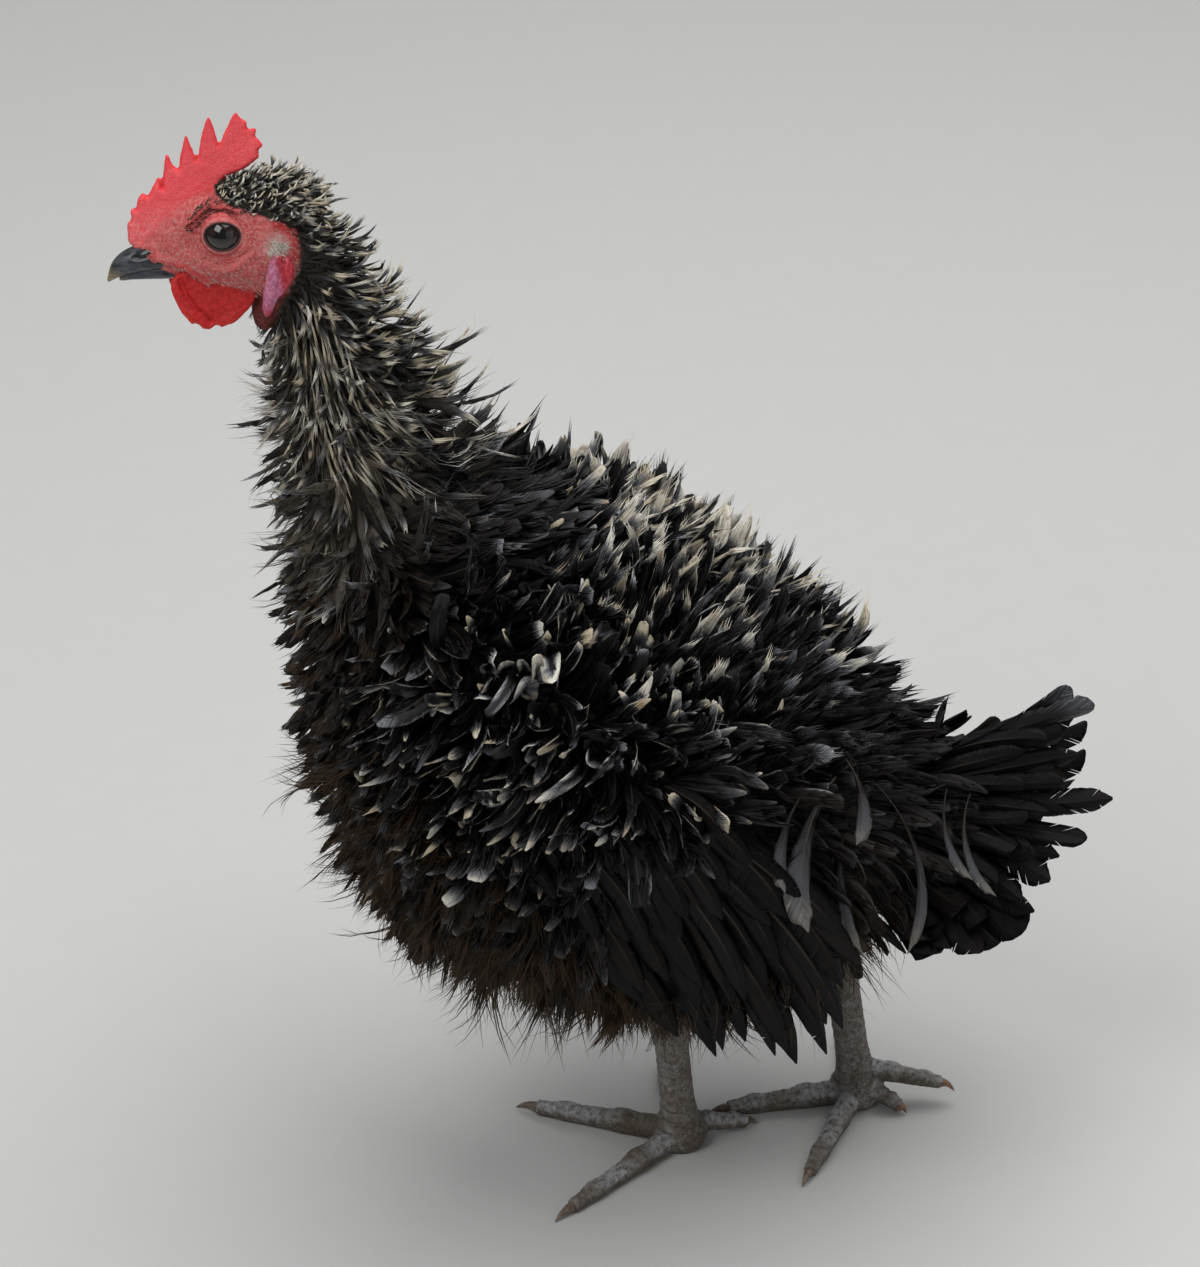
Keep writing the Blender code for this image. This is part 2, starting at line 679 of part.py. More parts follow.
def make_leg(side, leg, coat):
    """Shank with the foot's pad, toes, claws, and the feathered shin above."""
    foot, hock = leg["foot"], leg["hock"]
    shank = mesh_object(f"shank_{side}", *skin_rings(tube_rings(shank_rows(hock, foot), 10)), "leg_scale")
    pad = sphere("pad", (foot[0], foot[1], FOOT_H * 0.62), (FOOT_R, FOOT_R, FOOT_H), None, u=12, v=8)
    press_to_floor(pad)
    combine(shank, [pad])
    made = [shank]
    order = list(leg["toes"])
    for kind in order:
        tip = leg["toes"][kind]
        toe, rows = make_toe(f"toe_{side}_{kind}", foot, tip, TOE_R[kind])
        guards = [sphere("guard", (foot[0], foot[1], FOOT_H * 0.62),
                         (FOOT_R + GAP, FOOT_R + GAP, FOOT_H + GAP), None, u=12, v=8)]
        guards.append(mesh_object("guard", *skin_rings(tube_rings(
            [(x, y, z, r + GAP) for x, y, z, r in shank_rows(hock, foot)], 10))))
        if kind == "extra":
            guards += [grown_copy(m, GAP) for m in made[1:] if "hind" in m.name]
        combine(toe, guards, "DIFFERENCE")
        claw = make_claw(f"claw_{side}_{kind}", rows, tip)
        combine(claw, [grown_copy(toe, GAP)], "DIFFERENCE")
        made += [toe, claw]
    for piece in made:
        coat.add_solid(piece.name, piece)
    return made


def press_to_floor(work_object):
    for v in work_object.data.vertices:
        v.co.z = max(v.co.z, 0.0)


def make_shin(side, leg, torso_guard, coat):
    """The feathered lower thigh: it leaves the torso and ends at the hock."""
    hip, knee, hock = (Vector(leg[k]) for k in ("hip", "knee", "hock"))
    down = (Vector((*leg["foot"], ANKLE_Z)) - hock).normalized()
    rows = [(*hip, SHIN_R), (*knee, SHIN_R * 0.95), (*knee.lerp(hock, 0.5), SHIN_R * 0.75),
            (*knee.lerp(hock, 0.85), HOCK_R + 2.2), (*(hock - down * (GAP + 0.4)), HOCK_R + 0.6)]
    shin = mesh_object(f"shin_{side}", *skin_rings(tube_rings(rows, 14)), "black_plumage")
    shank_guard = mesh_object("guard", *skin_rings(tube_rings(
        [(x, y, z, r + GAP) for x, y, z, r in shank_rows(leg["hock"], leg["foot"])], 10)))
    combine(shin, [torso_guard(), shank_guard], "DIFFERENCE")
    coat.add_solid(shin.name, shin)
    return shin, [Vector(r[:3]) for r in rows]


def make_arm(side, name):
    """The wing's arm: a flat pad that hugs the torso's side."""
    rings = []
    for k in range(11):
        x, y, z, high, thick = spline(WING_ARM, k / 10 * (len(WING_ARM) - 1))
        before = Vector(spline(WING_ARM, max(k / 10 - 0.05, 0) * (len(WING_ARM) - 1))[:3])
        after = Vector(spline(WING_ARM, min(k / 10 + 0.05, 1) * (len(WING_ARM) - 1))[:3])
        along = (after - before).normalized()
        up = (Vector((0.6, -0.25, 0.75)) - along * along.dot(Vector((0.6, -0.25, 0.75)))).normalized()
        out = along.cross(up)
        rings.append([Vector((x, y, z)) + up * high * math.cos(a) + out * thick * math.sin(a)
                      for a in (2 * math.pi * j / 14 for j in range(14))])
    points, faces = skin_rings(rings)
    points = [Vector((p.x, -side * p.y, p.z)) for p in points]
    wing = mesh_object(name, points, faces, "black_plumage")
    return combine(wing, [grown_torso()], "DIFFERENCE")


def flight_feathers(node, side, coat):
    """Primaries and secondaries in a fan, each lying a little outside the one before."""
    for k in range(FLIGHT_COUNT):
        share = k / (FLIGHT_COUNT - 1)
        root = Vector(spline(FLIGHT_ROOTS, share * (len(FLIGHT_ROOTS) - 1)))
        tip = Vector(spline(FLIGHT_TIPS, share * (len(FLIGHT_TIPS) - 1)))
        out = (k - FLIGHT_COUNT * 0.45) * FLIGHT_STEP
        root.y -= out
        tip.y = root.y - 1.5
        bow = (tip - root).cross(Vector((0, 1, 0))).normalized() * 5.0
        line = [root.lerp(tip, t / 8) + bow * math.sin(math.pi * t / 8) for t in range(9)]
        line = [Vector((p.x, -side * p.y, p.z)) for p in line]
        coat.place_vane(node, "black_plumage", line, Vector((0, side, 0)), FLIGHT_W, FLIGHT_T)


def tail_feathers(coat):
    """Seven pairs of tail feathers in a low tent, each pair lying inside and under the one above."""
    for side in (-1, 1):
        count = len(TAIL_TIPS)
        for k in range(count):
            tip, root = Vector(TAIL_TIPS[k]), Vector(TAIL_ROOTS[k])
            tip.y *= -side
            root.y *= -side
            across = Vector(TAIL_TIPS[min(k + 1, count - 1)]) - Vector(TAIL_TIPS[max(k - 1, 0)])
            across.y *= -side
            normal = across.cross(tip - root).normalized()
            if normal.y * side < 0:
                normal = -normal
            inward = (tip - root).normalized() * 5
            droop = normal * TAIL_DROOP
            apart = normal * -TAIL_STEP * k
            line = [(root - inward).lerp(tip, t / 8) - droop * math.sin(math.pi * t / 8)
                    + apart * min(1, t / 3) for t in range(9)]
            coat.place_vane("tail", "black_plumage", line, normal, TAIL_W, TAIL_T)


def frizzle(s, turn, rng):
    """How a feather of the body lies at a place: start and end directions, length and width."""
    here, normal, along = body_frame(s, turn)
    back = math.cos(turn)
    forward, down, up = Vector((-1, 0, 0)), Vector((0, 0, -1)), Vector((0, 0, 1))
    if s < NECK_END:
        start = along * 0.9 + normal * 0.6
        finish = normal + (up * 0.4 - forward * 0.3 if back > 0 else down * 0.3)
        length, width = 20 + 2.6 * s, 7.5 + 1.7 * s
    elif back > 0.5:
        start = along * 0.6 + normal * 0.6
        finish = normal * 0.8 + up * 0.3 - forward * 0.3
        length, width = 36, 18
    elif back > -0.5:
        start = along * 0.9 + normal * 0.45
        finish = normal + forward * 0.35 + down * 0.3
        length, width = 38, 22
    else:
        start = along * 0.7 + normal * 0.6
        finish = normal * 0.7 + down * 0.6 + forward * 0.1
        length, width = 30, 17
    if s > RUMP_END - 1.6:
        length, width = length - 5, width - 3
    wobble = Vector((rng.uniform(-1, 1), rng.uniform(-1, 1), rng.uniform(-1, 1))) * 0.1
    return here, normal, start + wobble, finish + wobble * 1.6, length * rng.uniform(0.88, 1.12), width


def coat_rows(node, slot, coat, rng, begin, end, row_step, spacing, shape):
    """Feathers in staggered rows over a stretch of the body. spacing holds the gap at each end."""
    rows = max(1, round((end - begin) / row_step))
    for r in range(rows):
        share = (r + 0.5) / rows
        s = begin + (end - begin) * share
        ux, uz, lx, lz, half = spline(BODY, s)
        round_length = math.pi * (math.hypot(ux - lx, uz - lz) / 2 + half)
        count = max(5, round(round_length / (spacing[0] + (spacing[1] - spacing[0]) * share)))
        for k in range(count):
            turn = 2 * math.pi * (k + 0.5 * (r % 2) + rng.uniform(-0.1, 0.1)) / count
            here, normal, start, finish, length, width = frizzle(s, turn, rng)
            coat.place(node, slot, here, normal, start, finish, length, width, shape=shape)


def wing_coat(node, side, coat, rng):
    """Curled coverts in rows down the arm, their tips turned out and forwards as in the photo."""
    for row in range(COVERT_ROWS):
        columns = 4 if row % 2 else 3
        for column in range(columns):
            at = (row + 0.5) / COVERT_ROWS * (len(WING_ARM) - 1.4)
            x, y, z, high, thick = spline(WING_ARM, at)
            lateral = (column - (columns - 1) / 2) * 0.52
            here = Vector((x, y, z)) + Vector((0.65, 0.1, 0.74)) * high * lateral
            here.y -= thick * math.sqrt(max(0.05, 1 - lateral * lateral)) * 0.9
            here.y *= -side
            normal = Vector((0, side, 0.2)).normalized()
            start = Vector((0.75, 0, -0.65)) + normal * 0.5
            finish = Vector((-0.1, 0, -0.3)) + normal
            wobble = Vector((rng.uniform(-1, 1), 0, rng.uniform(-1, 1))) * 0.12
            coat.place(node, "black_plumage", here, normal, start, finish + wobble,
                       32 * rng.uniform(0.88, 1.12), 15)


def shin_coat(node, side, line, coat, rng):
    """Loose, pointed feathers round the shin."""
    for row in range(3):
        share = 0.25 + 0.28 * row
        at = share * (len(line) - 1)
        i = min(int(at), len(line) - 2)
        centre = line[i].lerp(line[i + 1], at - i)
        radius = SHIN_R * (1 - 0.38 * share)
        for k in range(7):
            turn = 2 * math.pi * (k + 0.5 * (row % 2)) / 7
            normal = Vector((math.cos(turn), math.sin(turn), -0.2)).normalized()
            start = normal * 0.6 + Vector((0, 0, -0.8))
            finish = normal * 0.7 + Vector((0, 0, -0.5))
            coat.place(node, "black_plumage", centre + normal * radius * 0.95, normal, start, finish,
                       20 * rng.uniform(0.85, 1.15), 8)


def tail_coat(coat, rng):
    """Curled coverts over the root of the tail."""
    for row, count in enumerate((9, 7)):
        s = RUMP_END + 0.3 + 0.55 * row
        for k in range(count):
            turn = 2 * math.pi * (k + 0.5 * row) / count
            here, normal, along = body_frame(s, turn)
            start = along * 0.9 + normal * 0.5
            finish = normal * 0.8 + Vector((0.1, 0, -0.3 if math.cos(turn) < 0.3 else 0.5))
            coat.place("tail", "black_plumage", here, normal, start, finish,
                       28 * rng.uniform(0.85, 1.15), 13)


def nape_coat(coat, rng):
    """Short spiky feathers behind the comb and down the back of the head."""
    frame = head_frame()
    turn_only = frame.to_3x3()
    for row in range(3):
        ux, uz, lx, lz, half = spline(HEAD, 4.9 + 0.75 * row)
        for k in range(-3, 4):
            turn = k * 0.42 + 0.2 * (row % 2)
            middle = Vector(((ux + lx) / 2, 0, (uz + lz) / 2))
            up = Vector(((ux - lx) / 2, 0, (uz - lz) / 2))
            here = middle + up * math.cos(turn) + Vector((0, half * math.sin(turn), 0))
            normal = (up.normalized() * math.cos(turn) + Vector((0.25, math.sin(turn), 0))).normalized()
            start = normal * 0.5 + Vector((0.8, 0, 0))
            finish = normal * 0.9 + Vector((0.6, 0, 0.2))
            coat.place("head", "neck_plumage", frame @ here, turn_only @ normal, turn_only @ start,
                       turn_only @ finish, 10 * rng.uniform(0.85, 1.2), 3.6, thickness=1.2)


def main():
    global CHICKEN
    clear_scene()
    CHICKEN = bpy.data.collections.new("frizzle_chicken")
    bpy.context.scene.collection.children.link(CHICKEN)
    rng = random.Random(SEED)
    coat = Plumage()
    neck, torso, tail = make_cores()
    for core in (neck, torso, tail):
        coat.add_solid(core.name, core)
    head = make_head(coat)
    for side, leg in LEGS.items():
        make_leg(side, leg, coat)
    shins = {side: make_shin(side, leg, grown_torso, coat) for side, leg in LEGS.items()}
    wings = {"wing_left": (make_arm(-1, "wing_left"), -1), "wing_right": (make_arm(1, "wing_right"), 1)}
    for name, (wing, side) in wings.items():
        coat.add_solid(name, wing)
        flight_feathers(name, side, coat)
    tail_feathers(coat)
    for name, (wing, side) in wings.items():
        wing_coat(name, side, coat, rng)
    coat_rows("torso", "black_plumage", coat, rng, NECK_END + 0.1, RUMP_END - 0.1, 0.78, (24, 24), PLUME_SHAPE)
    coat_rows("neck", "neck_plumage", coat, rng, 0.15, NECK_END - 0.05, 0.6, (12, 18), SPIKY_SHAPE)
    tail_coat(coat, rng)
    nape_coat(coat, rng)
    for side, (shin, line) in shins.items():
        shin_coat(shin.name, side, line, coat, rng)
    print("feathers placed", {k: len(v) for k, v in coat.made.items()}, "skipped", coat.skipped)
    for core in (neck, torso, tail, head, *(w for w, _ in wings.values()), *(s for s, _ in shins.values())):
        coat.fuse(core.name, core)
    for piece in (tail, *(w for w, _ in wings.values())):
        combine(piece, [grown_torso()], "DIFFERENCE")


main()
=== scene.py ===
"""The looks of the frizzle chicken: one skin, the head's parts, the coat feather by feather, legs and studio.

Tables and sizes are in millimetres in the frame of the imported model, and meshes are made in metres.
The bird faces -X and its left side is towards -Y. The coat is closed mesh, grown from guides over the skin.
"""

import math
from types import SimpleNamespace

import bmesh
import bpy
import numpy as np
from mathutils import Matrix, Vector
from mathutils.bvhtree import BVHTree
from mathutils.kdtree import KDTree
from mathutils.noise import fractal, noise


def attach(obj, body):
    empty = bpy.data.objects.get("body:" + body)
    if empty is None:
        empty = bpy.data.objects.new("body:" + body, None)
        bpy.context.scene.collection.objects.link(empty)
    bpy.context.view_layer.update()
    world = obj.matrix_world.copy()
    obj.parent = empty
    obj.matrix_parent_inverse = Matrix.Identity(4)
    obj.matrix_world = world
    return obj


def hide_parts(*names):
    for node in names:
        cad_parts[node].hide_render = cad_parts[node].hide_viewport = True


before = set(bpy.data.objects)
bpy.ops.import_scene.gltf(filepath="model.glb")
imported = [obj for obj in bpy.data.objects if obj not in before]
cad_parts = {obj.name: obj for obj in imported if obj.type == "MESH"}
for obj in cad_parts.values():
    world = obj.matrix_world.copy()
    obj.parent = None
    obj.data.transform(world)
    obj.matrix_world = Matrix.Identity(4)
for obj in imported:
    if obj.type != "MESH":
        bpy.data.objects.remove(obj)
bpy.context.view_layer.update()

MM = 0.001
SEED = 7
FULL = 2 * math.pi

# The body without its feathers, from the nape to the tail's end: upper (x, z), lower (x, z), half width.
BODY = (
    (-101, 371, -124, 339, 12), (-89, 346, -117, 324, 14), (-79, 317, -111, 302, 16),
    (-71, 291, -110, 275, 19), (-61, 269, -108, 244, 25), (-45, 255, -106, 209, 36),
    (-25, 245, -100, 163, 46), (-2, 236, -82, 115, 53), (20, 223, -42, 79, 56),
    (44, 205, 10, 69, 53), (63, 186, 52, 79, 43), (80, 169, 80, 97, 30),
    (94, 157, 98, 113, 19), (104, 149, 109, 127, 11),
)
BODY_END = 13.0
SKIN_DEPTH = 2.5

# The head, round the eye's centre in its own frame, rolled towards the bird's left.
EYE_LINE = (-128.6, 0, 356.8)
HEAD_ROLL = math.radians(-13)
HEAD = (
    (-28.5, -6.0, -20.5, -14.0, 4.2), (-24.0, -0.5, -15.0, -16.4, 6.6), (-17.5, 6.0, -8.0, -18.6, 9.2),
    (-9.5, 11.6, 0.0, -20.4, 11.4), (0.8, 15.4, 9.0, -22.0, 12.8), (11.0, 17.4, 17.5, -23.0, 13.4),
    (20.5, 16.6, 24.0, -22.0, 12.8), (28.0, 12.0, 27.5, -15.0, 10.0),
)
EYE_R, EYE_Y = 7.0, 8.0
EYE_OPENING = (5.15, 3.9, 4.2)
COMB_OUTLINE = (
    (-31.5, -4.5), (-31.7, 1.2), (-30.2, 3.0), (-30.5, 5.8), (-28.4, 6.5), (-27.9, 9.5),
    (-26.5, 11.6), (-24.9, 10.1), (-23.4, 12.5), (-21.2, 17.0), (-19.8, 12.2), (-19.7, 17.2),
    (-18.5, 24.4), (-16.6, 20.2), (-14.4, 19.0), (-13.7, 24.5), (-12.0, 31.0), (-10.0, 25.2),
    (-8.5, 21.8), (-6.9, 30.3), (-4.6, 36.8), (-2.6, 31.7), (-1.6, 26.2), (0.6, 31.7),
    (4.0, 37.9), (5.6, 35.4), (7.6, 34.2), (7.4, 32.0), (10.6, 32.3), (9.9, 29.6),
    (11.4, 28.4), (12.8, 26.6), (10.8, 25.3), (11.2, 22.9), (9.5, 21.5), (6.7, 19.3),
    (-0.6, 16.3), (-1.5, 9.0), (-12.0, 3.0), (-22.0, -6.0), (-28.0, -8.0),
)
WATTLE_OUTLINE = (
    (-15.1, -13.5), (-17.4, -16.0), (-17.6, -19.3), (-16.2, -22.9), (-14.4, -26.8), (-12.9, -28.0),
    (-11.0, -30.2), (-9.6, -29.7), (-7.6, -31.6), (-5.4, -32.0), (-3.3, -30.3), (-1.4, -31.3),
    (0.8, -30.2), (2.9, -29.5), (5.4, -27.3), (7.6, -25.1), (9.1, -22.6), (10.0, -20.4),
    (6.0, -15.0), (-8.0, -12.0),
)
RIGHT_WATTLE = tuple((x - 2.0, z + 0.3) for x, z in WATTLE_OUTLINE)
LOBE_OUTLINE = (
    (15.0, -7.6), (13.8, -13.3), (12.9, -18.1), (12.3, -22.8), (13.4, -26.3), (15.2, -25.2),
    (17.1, -20.3), (20.2, -17.5), (22.6, -13.6), (22.9, -10.2), (21.4, -7.0), (17.9, -5.6),
)
# Each flap's kind, side, outline, slot, distance from the middle and outward lean.
FLAPS = (
    ("wattle_left", -1, WATTLE_OUTLINE, "red_skin", 5.0, 0.1),
    ("wattle_right", 1, RIGHT_WATTLE, "red_skin", 6.5, 0.2),
    ("ear_lobe_left", -1, LOBE_OUTLINE, "lobe_skin", 13.2, 0.1),
    ("ear_lobe_right", 1, LOBE_OUTLINE, "lobe_skin", 14.5, 0.36),
)
UPPER_BILL = (
    (-17.0, -6.0, -12.6, -12.4, 4.8), (-24.0, -4.6, -19.4, -13.2, 4.6), (-29.8, -6.4, -26.0, -14.0, 4.0),
    (-34.0, -8.6, -31.4, -15.0, 3.0), (-37.2, -12.2, -35.4, -16.4, 1.6), (-38.8, -17.2, -38.2, -17.8, 0.3),
)
LOWER_BILL = (
    (-12.6, -13.0, -12.0, -16.2, 4.0), (-19.4, -13.7, -19.0, -17.0, 3.6), (-26.0, -14.5, -25.4, -17.2, 2.8),
    (-31.0, -15.5, -30.6, -17.4, 1.9), (-33.2, -16.4, -33.0, -17.7, 1.1), (-34.8, -17.2, -34.7, -17.7, 0.3),
)
NOSTRIL, NOSTRIL_TURN, NOSTRIL_HALF = (-25.2, -7.0), -0.42, (4.3, 1.5)

# Legs: hip, knee, hock and foot, then each toe's tip and its height at the root and the tip.
LEGS = {
    "left": {"hip": (10, -26, 114), "knee": (10, -28, 92), "hock": (16, -21, 66), "foot": (21, -11),
             "toes": {"inner": (15, 38, 0, 0), "middle": (-39, 9, 0, 0), "outer": (-24, -59, 0, 0),
                      "hind": (49, -1, 5, 0)}},
    "right": {"hip": (40, 24, 114), "knee": (57, 24, 94), "hock": (77, 17, 70), "foot": (86, 15),
              "toes": {"inner": (64, -39, 0, 0), "middle": (31, 4, 0, 0), "outer": (83, 62, 0, 0),
                       "hind": (104, 5, 5, 0), "extra": (122, 14, 11, 5)}},
}
TOE_R = {"inner": 4.2, "middle": 4.6, "outer": 4.3, "hind": 3.9, "extra": 3.9}
TOE_SWELL = (1.15, 1.0, 1.1, 0.9, 0.98, 0.75)
FOOT_R, FOOT_H, ANKLE_Z = 10.5, 9.0, 14.0
SHANK_R, HOCK_R, SHIN_R = 5.9, 8.2, 16.0

# The wing's arm from the shoulder to the hand, with half height and half thickness, and its feathers' lines.
WING_ARM = (
    (-64, -32, 229, 8, 5), (-48, -45, 215, 17, 8), (-20, -54, 189, 25, 9),
    (8, -57, 163, 24, 9), (30, -56, 141, 16, 7), (40, -54, 130, 5, 3),
)
ARM_UP = (0.6, -0.25, 0.75)
FLIGHT_ROOTS = ((-34, -57, 140), (-26, -57, 150), (-14, -57, 158), (0, -57, 163), (10, -57, 168),
                (20, -57, 172))
FLIGHT_TIPS = ((24, -60, 69), (36, -60, 64), (55, -60, 65), (67, -60, 70), (76, -60, 94), (81, -60, 122))
TAIL_TIPS = ((160, -3, 181), (165, -8, 160), (167, -15, 145), (159, -23, 127), (144, -31, 107),
             (128, -37, 98), (110, -40, 97))
TAIL_ROOTS = ((94, -2.6, 151), (97, -6, 148), (99, -8.5, 144), (99, -10, 139), (98, -11, 134),
              (96, -11, 129), (93, -10, 124))

# Camera: the photo's framing at 1200 x 1267, looking along +Y and down.
CAMERA_AT = (-0.008, -1.2557, 0.9308)
CAMERA_DOWN = math.radians(30)
CAMERA_LENS, CAMERA_SENSOR = 121.2, 36.0


# Shared geometry


def unit(a):
    return a / np.maximum(np.linalg.norm(a, axis=-1, keepdims=True), 1e-9)


def ease(x, low, high):
    t = np.clip((np.asarray(x, float) - low) / (high - low), 0, 1)
    return t * t * (3 - 2 * t)


def rows_at(rows, at):
    """A table's values at fractional indices, on a smooth curve through its rows."""
    rows = np.asarray(rows, float)
    at = np.clip(np.atleast_1d(np.asarray(at, float)), 0, len(rows) - 1)
    i = np.minimum(at.astype(int), len(rows) - 2)
    t = (at - i)[:, None]
    a, b = rows[np.maximum(i - 1, 0)], rows[i]
    c, d = rows[i + 1], rows[np.minimum(i + 2, len(rows) - 1)]
    return 0.5 * (2 * b + (c - a) * t + (2 * a - 5 * b + 4 * c - d) * t**2 + (3 * b - a - 3 * c + d) * t**3)


def loft_points(rows, s, turn, grow=0.0):
    """Points on a lofted form: s is the place along its rows, and turn is 0 on its upper side."""
    v = rows_at(rows, s)
    turn = np.asarray(turn, float)
    middle = np.stack([(v[:, 0] + v[:, 2]) / 2, np.zeros(len(v)), (v[:, 1] + v[:, 3]) / 2], 1)
    up = np.stack([(v[:, 0] - v[:, 2]) / 2, np.zeros(len(v)), (v[:, 1] - v[:, 3]) / 2], 1)
    up = up * (1 + grow / np.linalg.norm(up, axis=1, keepdims=True))
    found = middle + up * np.cos(turn)[:, None]
    found[:, 1] += (v[:, 4] + grow) * np.sin(turn)
    return found


def head_matrix():
    return np.array(Matrix.Translation(EYE_LINE) @ Matrix.Rotation(HEAD_ROLL, 4, "X"))


HEAD_FRAME = head_matrix()


def from_head(points):
    return np.asarray(points) @ HEAD_FRAME[:3, :3].T + HEAD_FRAME[:3, 3]


def to_head(points):
    return (np.asarray(points) - HEAD_FRAME[:3, 3]) @ HEAD_FRAME[:3, :3]


def grid_faces(rings, sides):
    """Quads between closed rings."""
    i = np.arange(rings - 1)[:, None] * sides
    k = np.arange(sides)[None, :]
    k2 = (k + 1) % sides
    return np.stack([i + k, i + k2, i + k2 + sides, i + k + sides], -1).reshape(-1, 4)


def closed_rings(rings):
    """Points and faces of a closed form through rings given as an array (rings, sides, 3)."""
    n, sides = rings.shape[:2]
    points = rings.reshape(-1, 3)
    faces = [tuple(f) for f in grid_faces(n, sides)]
    faces.append(tuple(range(sides - 1, -1, -1)))
    faces.append(tuple((n - 1) * sides + k for k in range(sides)))
    return points, faces


def ring_grid(values, sides):
    """Each value with each place round its ring, as two flat arrays."""
    grid = np.meshgrid(values, np.arange(sides) * FULL / sides, indexing="ij")
    return grid[0].ravel(), grid[1].ravel()


def loft_grid(rows, begin, end, rings, sides, grow=0.0):
    s, turn = ring_grid(np.linspace(begin, end, rings), sides)
    return loft_points(rows, s, turn, grow).reshape(rings, sides, 3)


def tube_grid(rows, sides):
    """Rings round a line of rows (x, y, z, radius), square to it, with the up side at turn 0."""
    rows = np.asarray(rows, float)
    along = unit(np.gradient(rows[:, :3], axis=0))
    side = np.cross(along, (0, 0, 1.0))
    side[np.linalg.norm(side, axis=1) < 0.05] = (0, 1, 0)
    side = unit(side)
    up = np.cross(side, along)
    turn = np.arange(sides) * FULL / sides
    ring = side[:, None] * np.sin(turn)[None, :, None] + up[:, None] * np.cos(turn)[None, :, None]
    return rows[:, None, :3] + ring * rows[:, 3][:, None, None]


def joined(forms):
    """Several (points, faces) as one."""
    points, faces, base = [], [], 0
    for p, f in forms:
        points.append(np.asarray(p, float))
        faces += [tuple(int(i) + base for i in face) for face in f]
        base += len(p)
    return np.concatenate(points), faces


def placed(name, data):
    made = bpy.data.objects.new(name, data)
    bpy.context.scene.collection.objects.link(made)
    return made


def plain_mesh(name, points, faces):
    mesh = bpy.data.meshes.new(name)
    mesh.from_pydata([tuple(p) for p in points], [], [tuple(int(i) for i in f) for f in faces])
    return mesh


def temporary(points, faces):
    """A work object with its faces turned outward. Units stay millimetres."""
    mesh = plain_mesh("temporary", points, faces)
    work = bmesh.new()
    work.from_mesh(mesh)
    bmesh.ops.recalc_face_normals(work, faces=work.faces)
    work.to_mesh(mesh)
    work.free()
    return placed("temporary", mesh)


def remeshed(form, voxel, smoothing):
    """The outer skin of overlapping closed forms, as even quads. Units stay millimetres."""
    made = temporary(*form)
    change = made.modifiers.new("remesh", "REMESH")
    change.mode = "VOXEL"
    change.voxel_size = voxel
    soften = made.modifiers.new("soften", "SMOOTH")
    soften.factor, soften.iterations = 0.5, smoothing
    bpy.context.view_layer.update()
    seen = made.evaluated_get(bpy.context.evaluated_depsgraph_get())
    mesh = bpy.data.meshes.new_from_object(seen)
    points, faces = mesh_arrays(mesh)
    bpy.data.objects.remove(made, do_unlink=True)
    bpy.data.meshes.remove(mesh)
    return points, faces


def mesh_arrays(mesh):
    points = np.empty(len(mesh.vertices) * 3)
    mesh.vertices.foreach_get("co", points)
    faces = [tuple(p.vertices) for p in mesh.polygons]
    return points.reshape(-1, 3), faces


def vertex_normals(points, faces):
    normals = np.zeros_like(points)
    quads = np.array([f if len(f) == 4 else (*f[:3], f[2]) for f in faces if len(f) <= 4])
    flat = np.cross(points[quads[:, 2]] - points[quads[:, 0]], points[quads[:, 3]] - points[quads[:, 1]])
    for k in range(4):
        np.add.at(normals, quads[:, k], flat)
    return unit(normals)


def lumps(points, scale, octaves=1):
    """Smooth noise at points, about -1 to 1. scale is the size of a lump."""
    if octaves == 1:
        return np.array([noise(Vector(p)) for p in points / scale])
    return np.array([fractal(Vector(p), 1.0, 2.0, octaves) for p in points / scale])


def outline_distance(points, outline):
    """Distance of 2-D points to a closed outline."""
    a = np.asarray(outline, float)
    b = np.roll(a, -1, axis=0)
    d = b - a
    t = np.clip(((points[:, None] - a) * d).sum(-1) / (d * d).sum(-1), 0, 1)
    return np.linalg.norm(points[:, None] - (a + d * t[..., None]), axis=-1).min(1)


def line_distance(x, z, line):
    """Distance of head places to an open line."""
    a, b = np.asarray(line[:-1], float), np.asarray(line[1:], float)
    d = b - a
    p = np.stack([x, z], -1)[:, None]
    t = np.clip(((p - a) * d).sum(-1) / (d * d).sum(-1), 0, 1)
    return np.linalg.norm(p - (a + d * t[..., None]), axis=-1).min(1)


def piece(name, points, faces, paint, replaced=()):
    """A finished mesh piece that rides on the one body. Points are in millimetres."""
    mesh = plain_mesh(name, np.asarray(points) * MM, faces)
    mesh.materials.append(paint)
    mesh.polygons.foreach_set("use_smooth", [True] * len(mesh.polygons))
    made = placed(name, mesh)
    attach(made, "root")
    if replaced:
        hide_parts(*replaced)
    return made


def add_colour(made, name, *shares):
    """A colour per point from up to four shares. The others are 0."""
    none = np.zeros(len(shares[0]))
    values = np.stack([*shares, *[none] * (4 - len(shares))], 1)
    layer = made.data.color_attributes.new(name, "FLOAT_COLOR", "POINT")
    layer.data.foreach_set("color", values.astype(np.float32).ravel())


# Materials


FLESH_DEPTH = 0.002
BARBS = 85.0


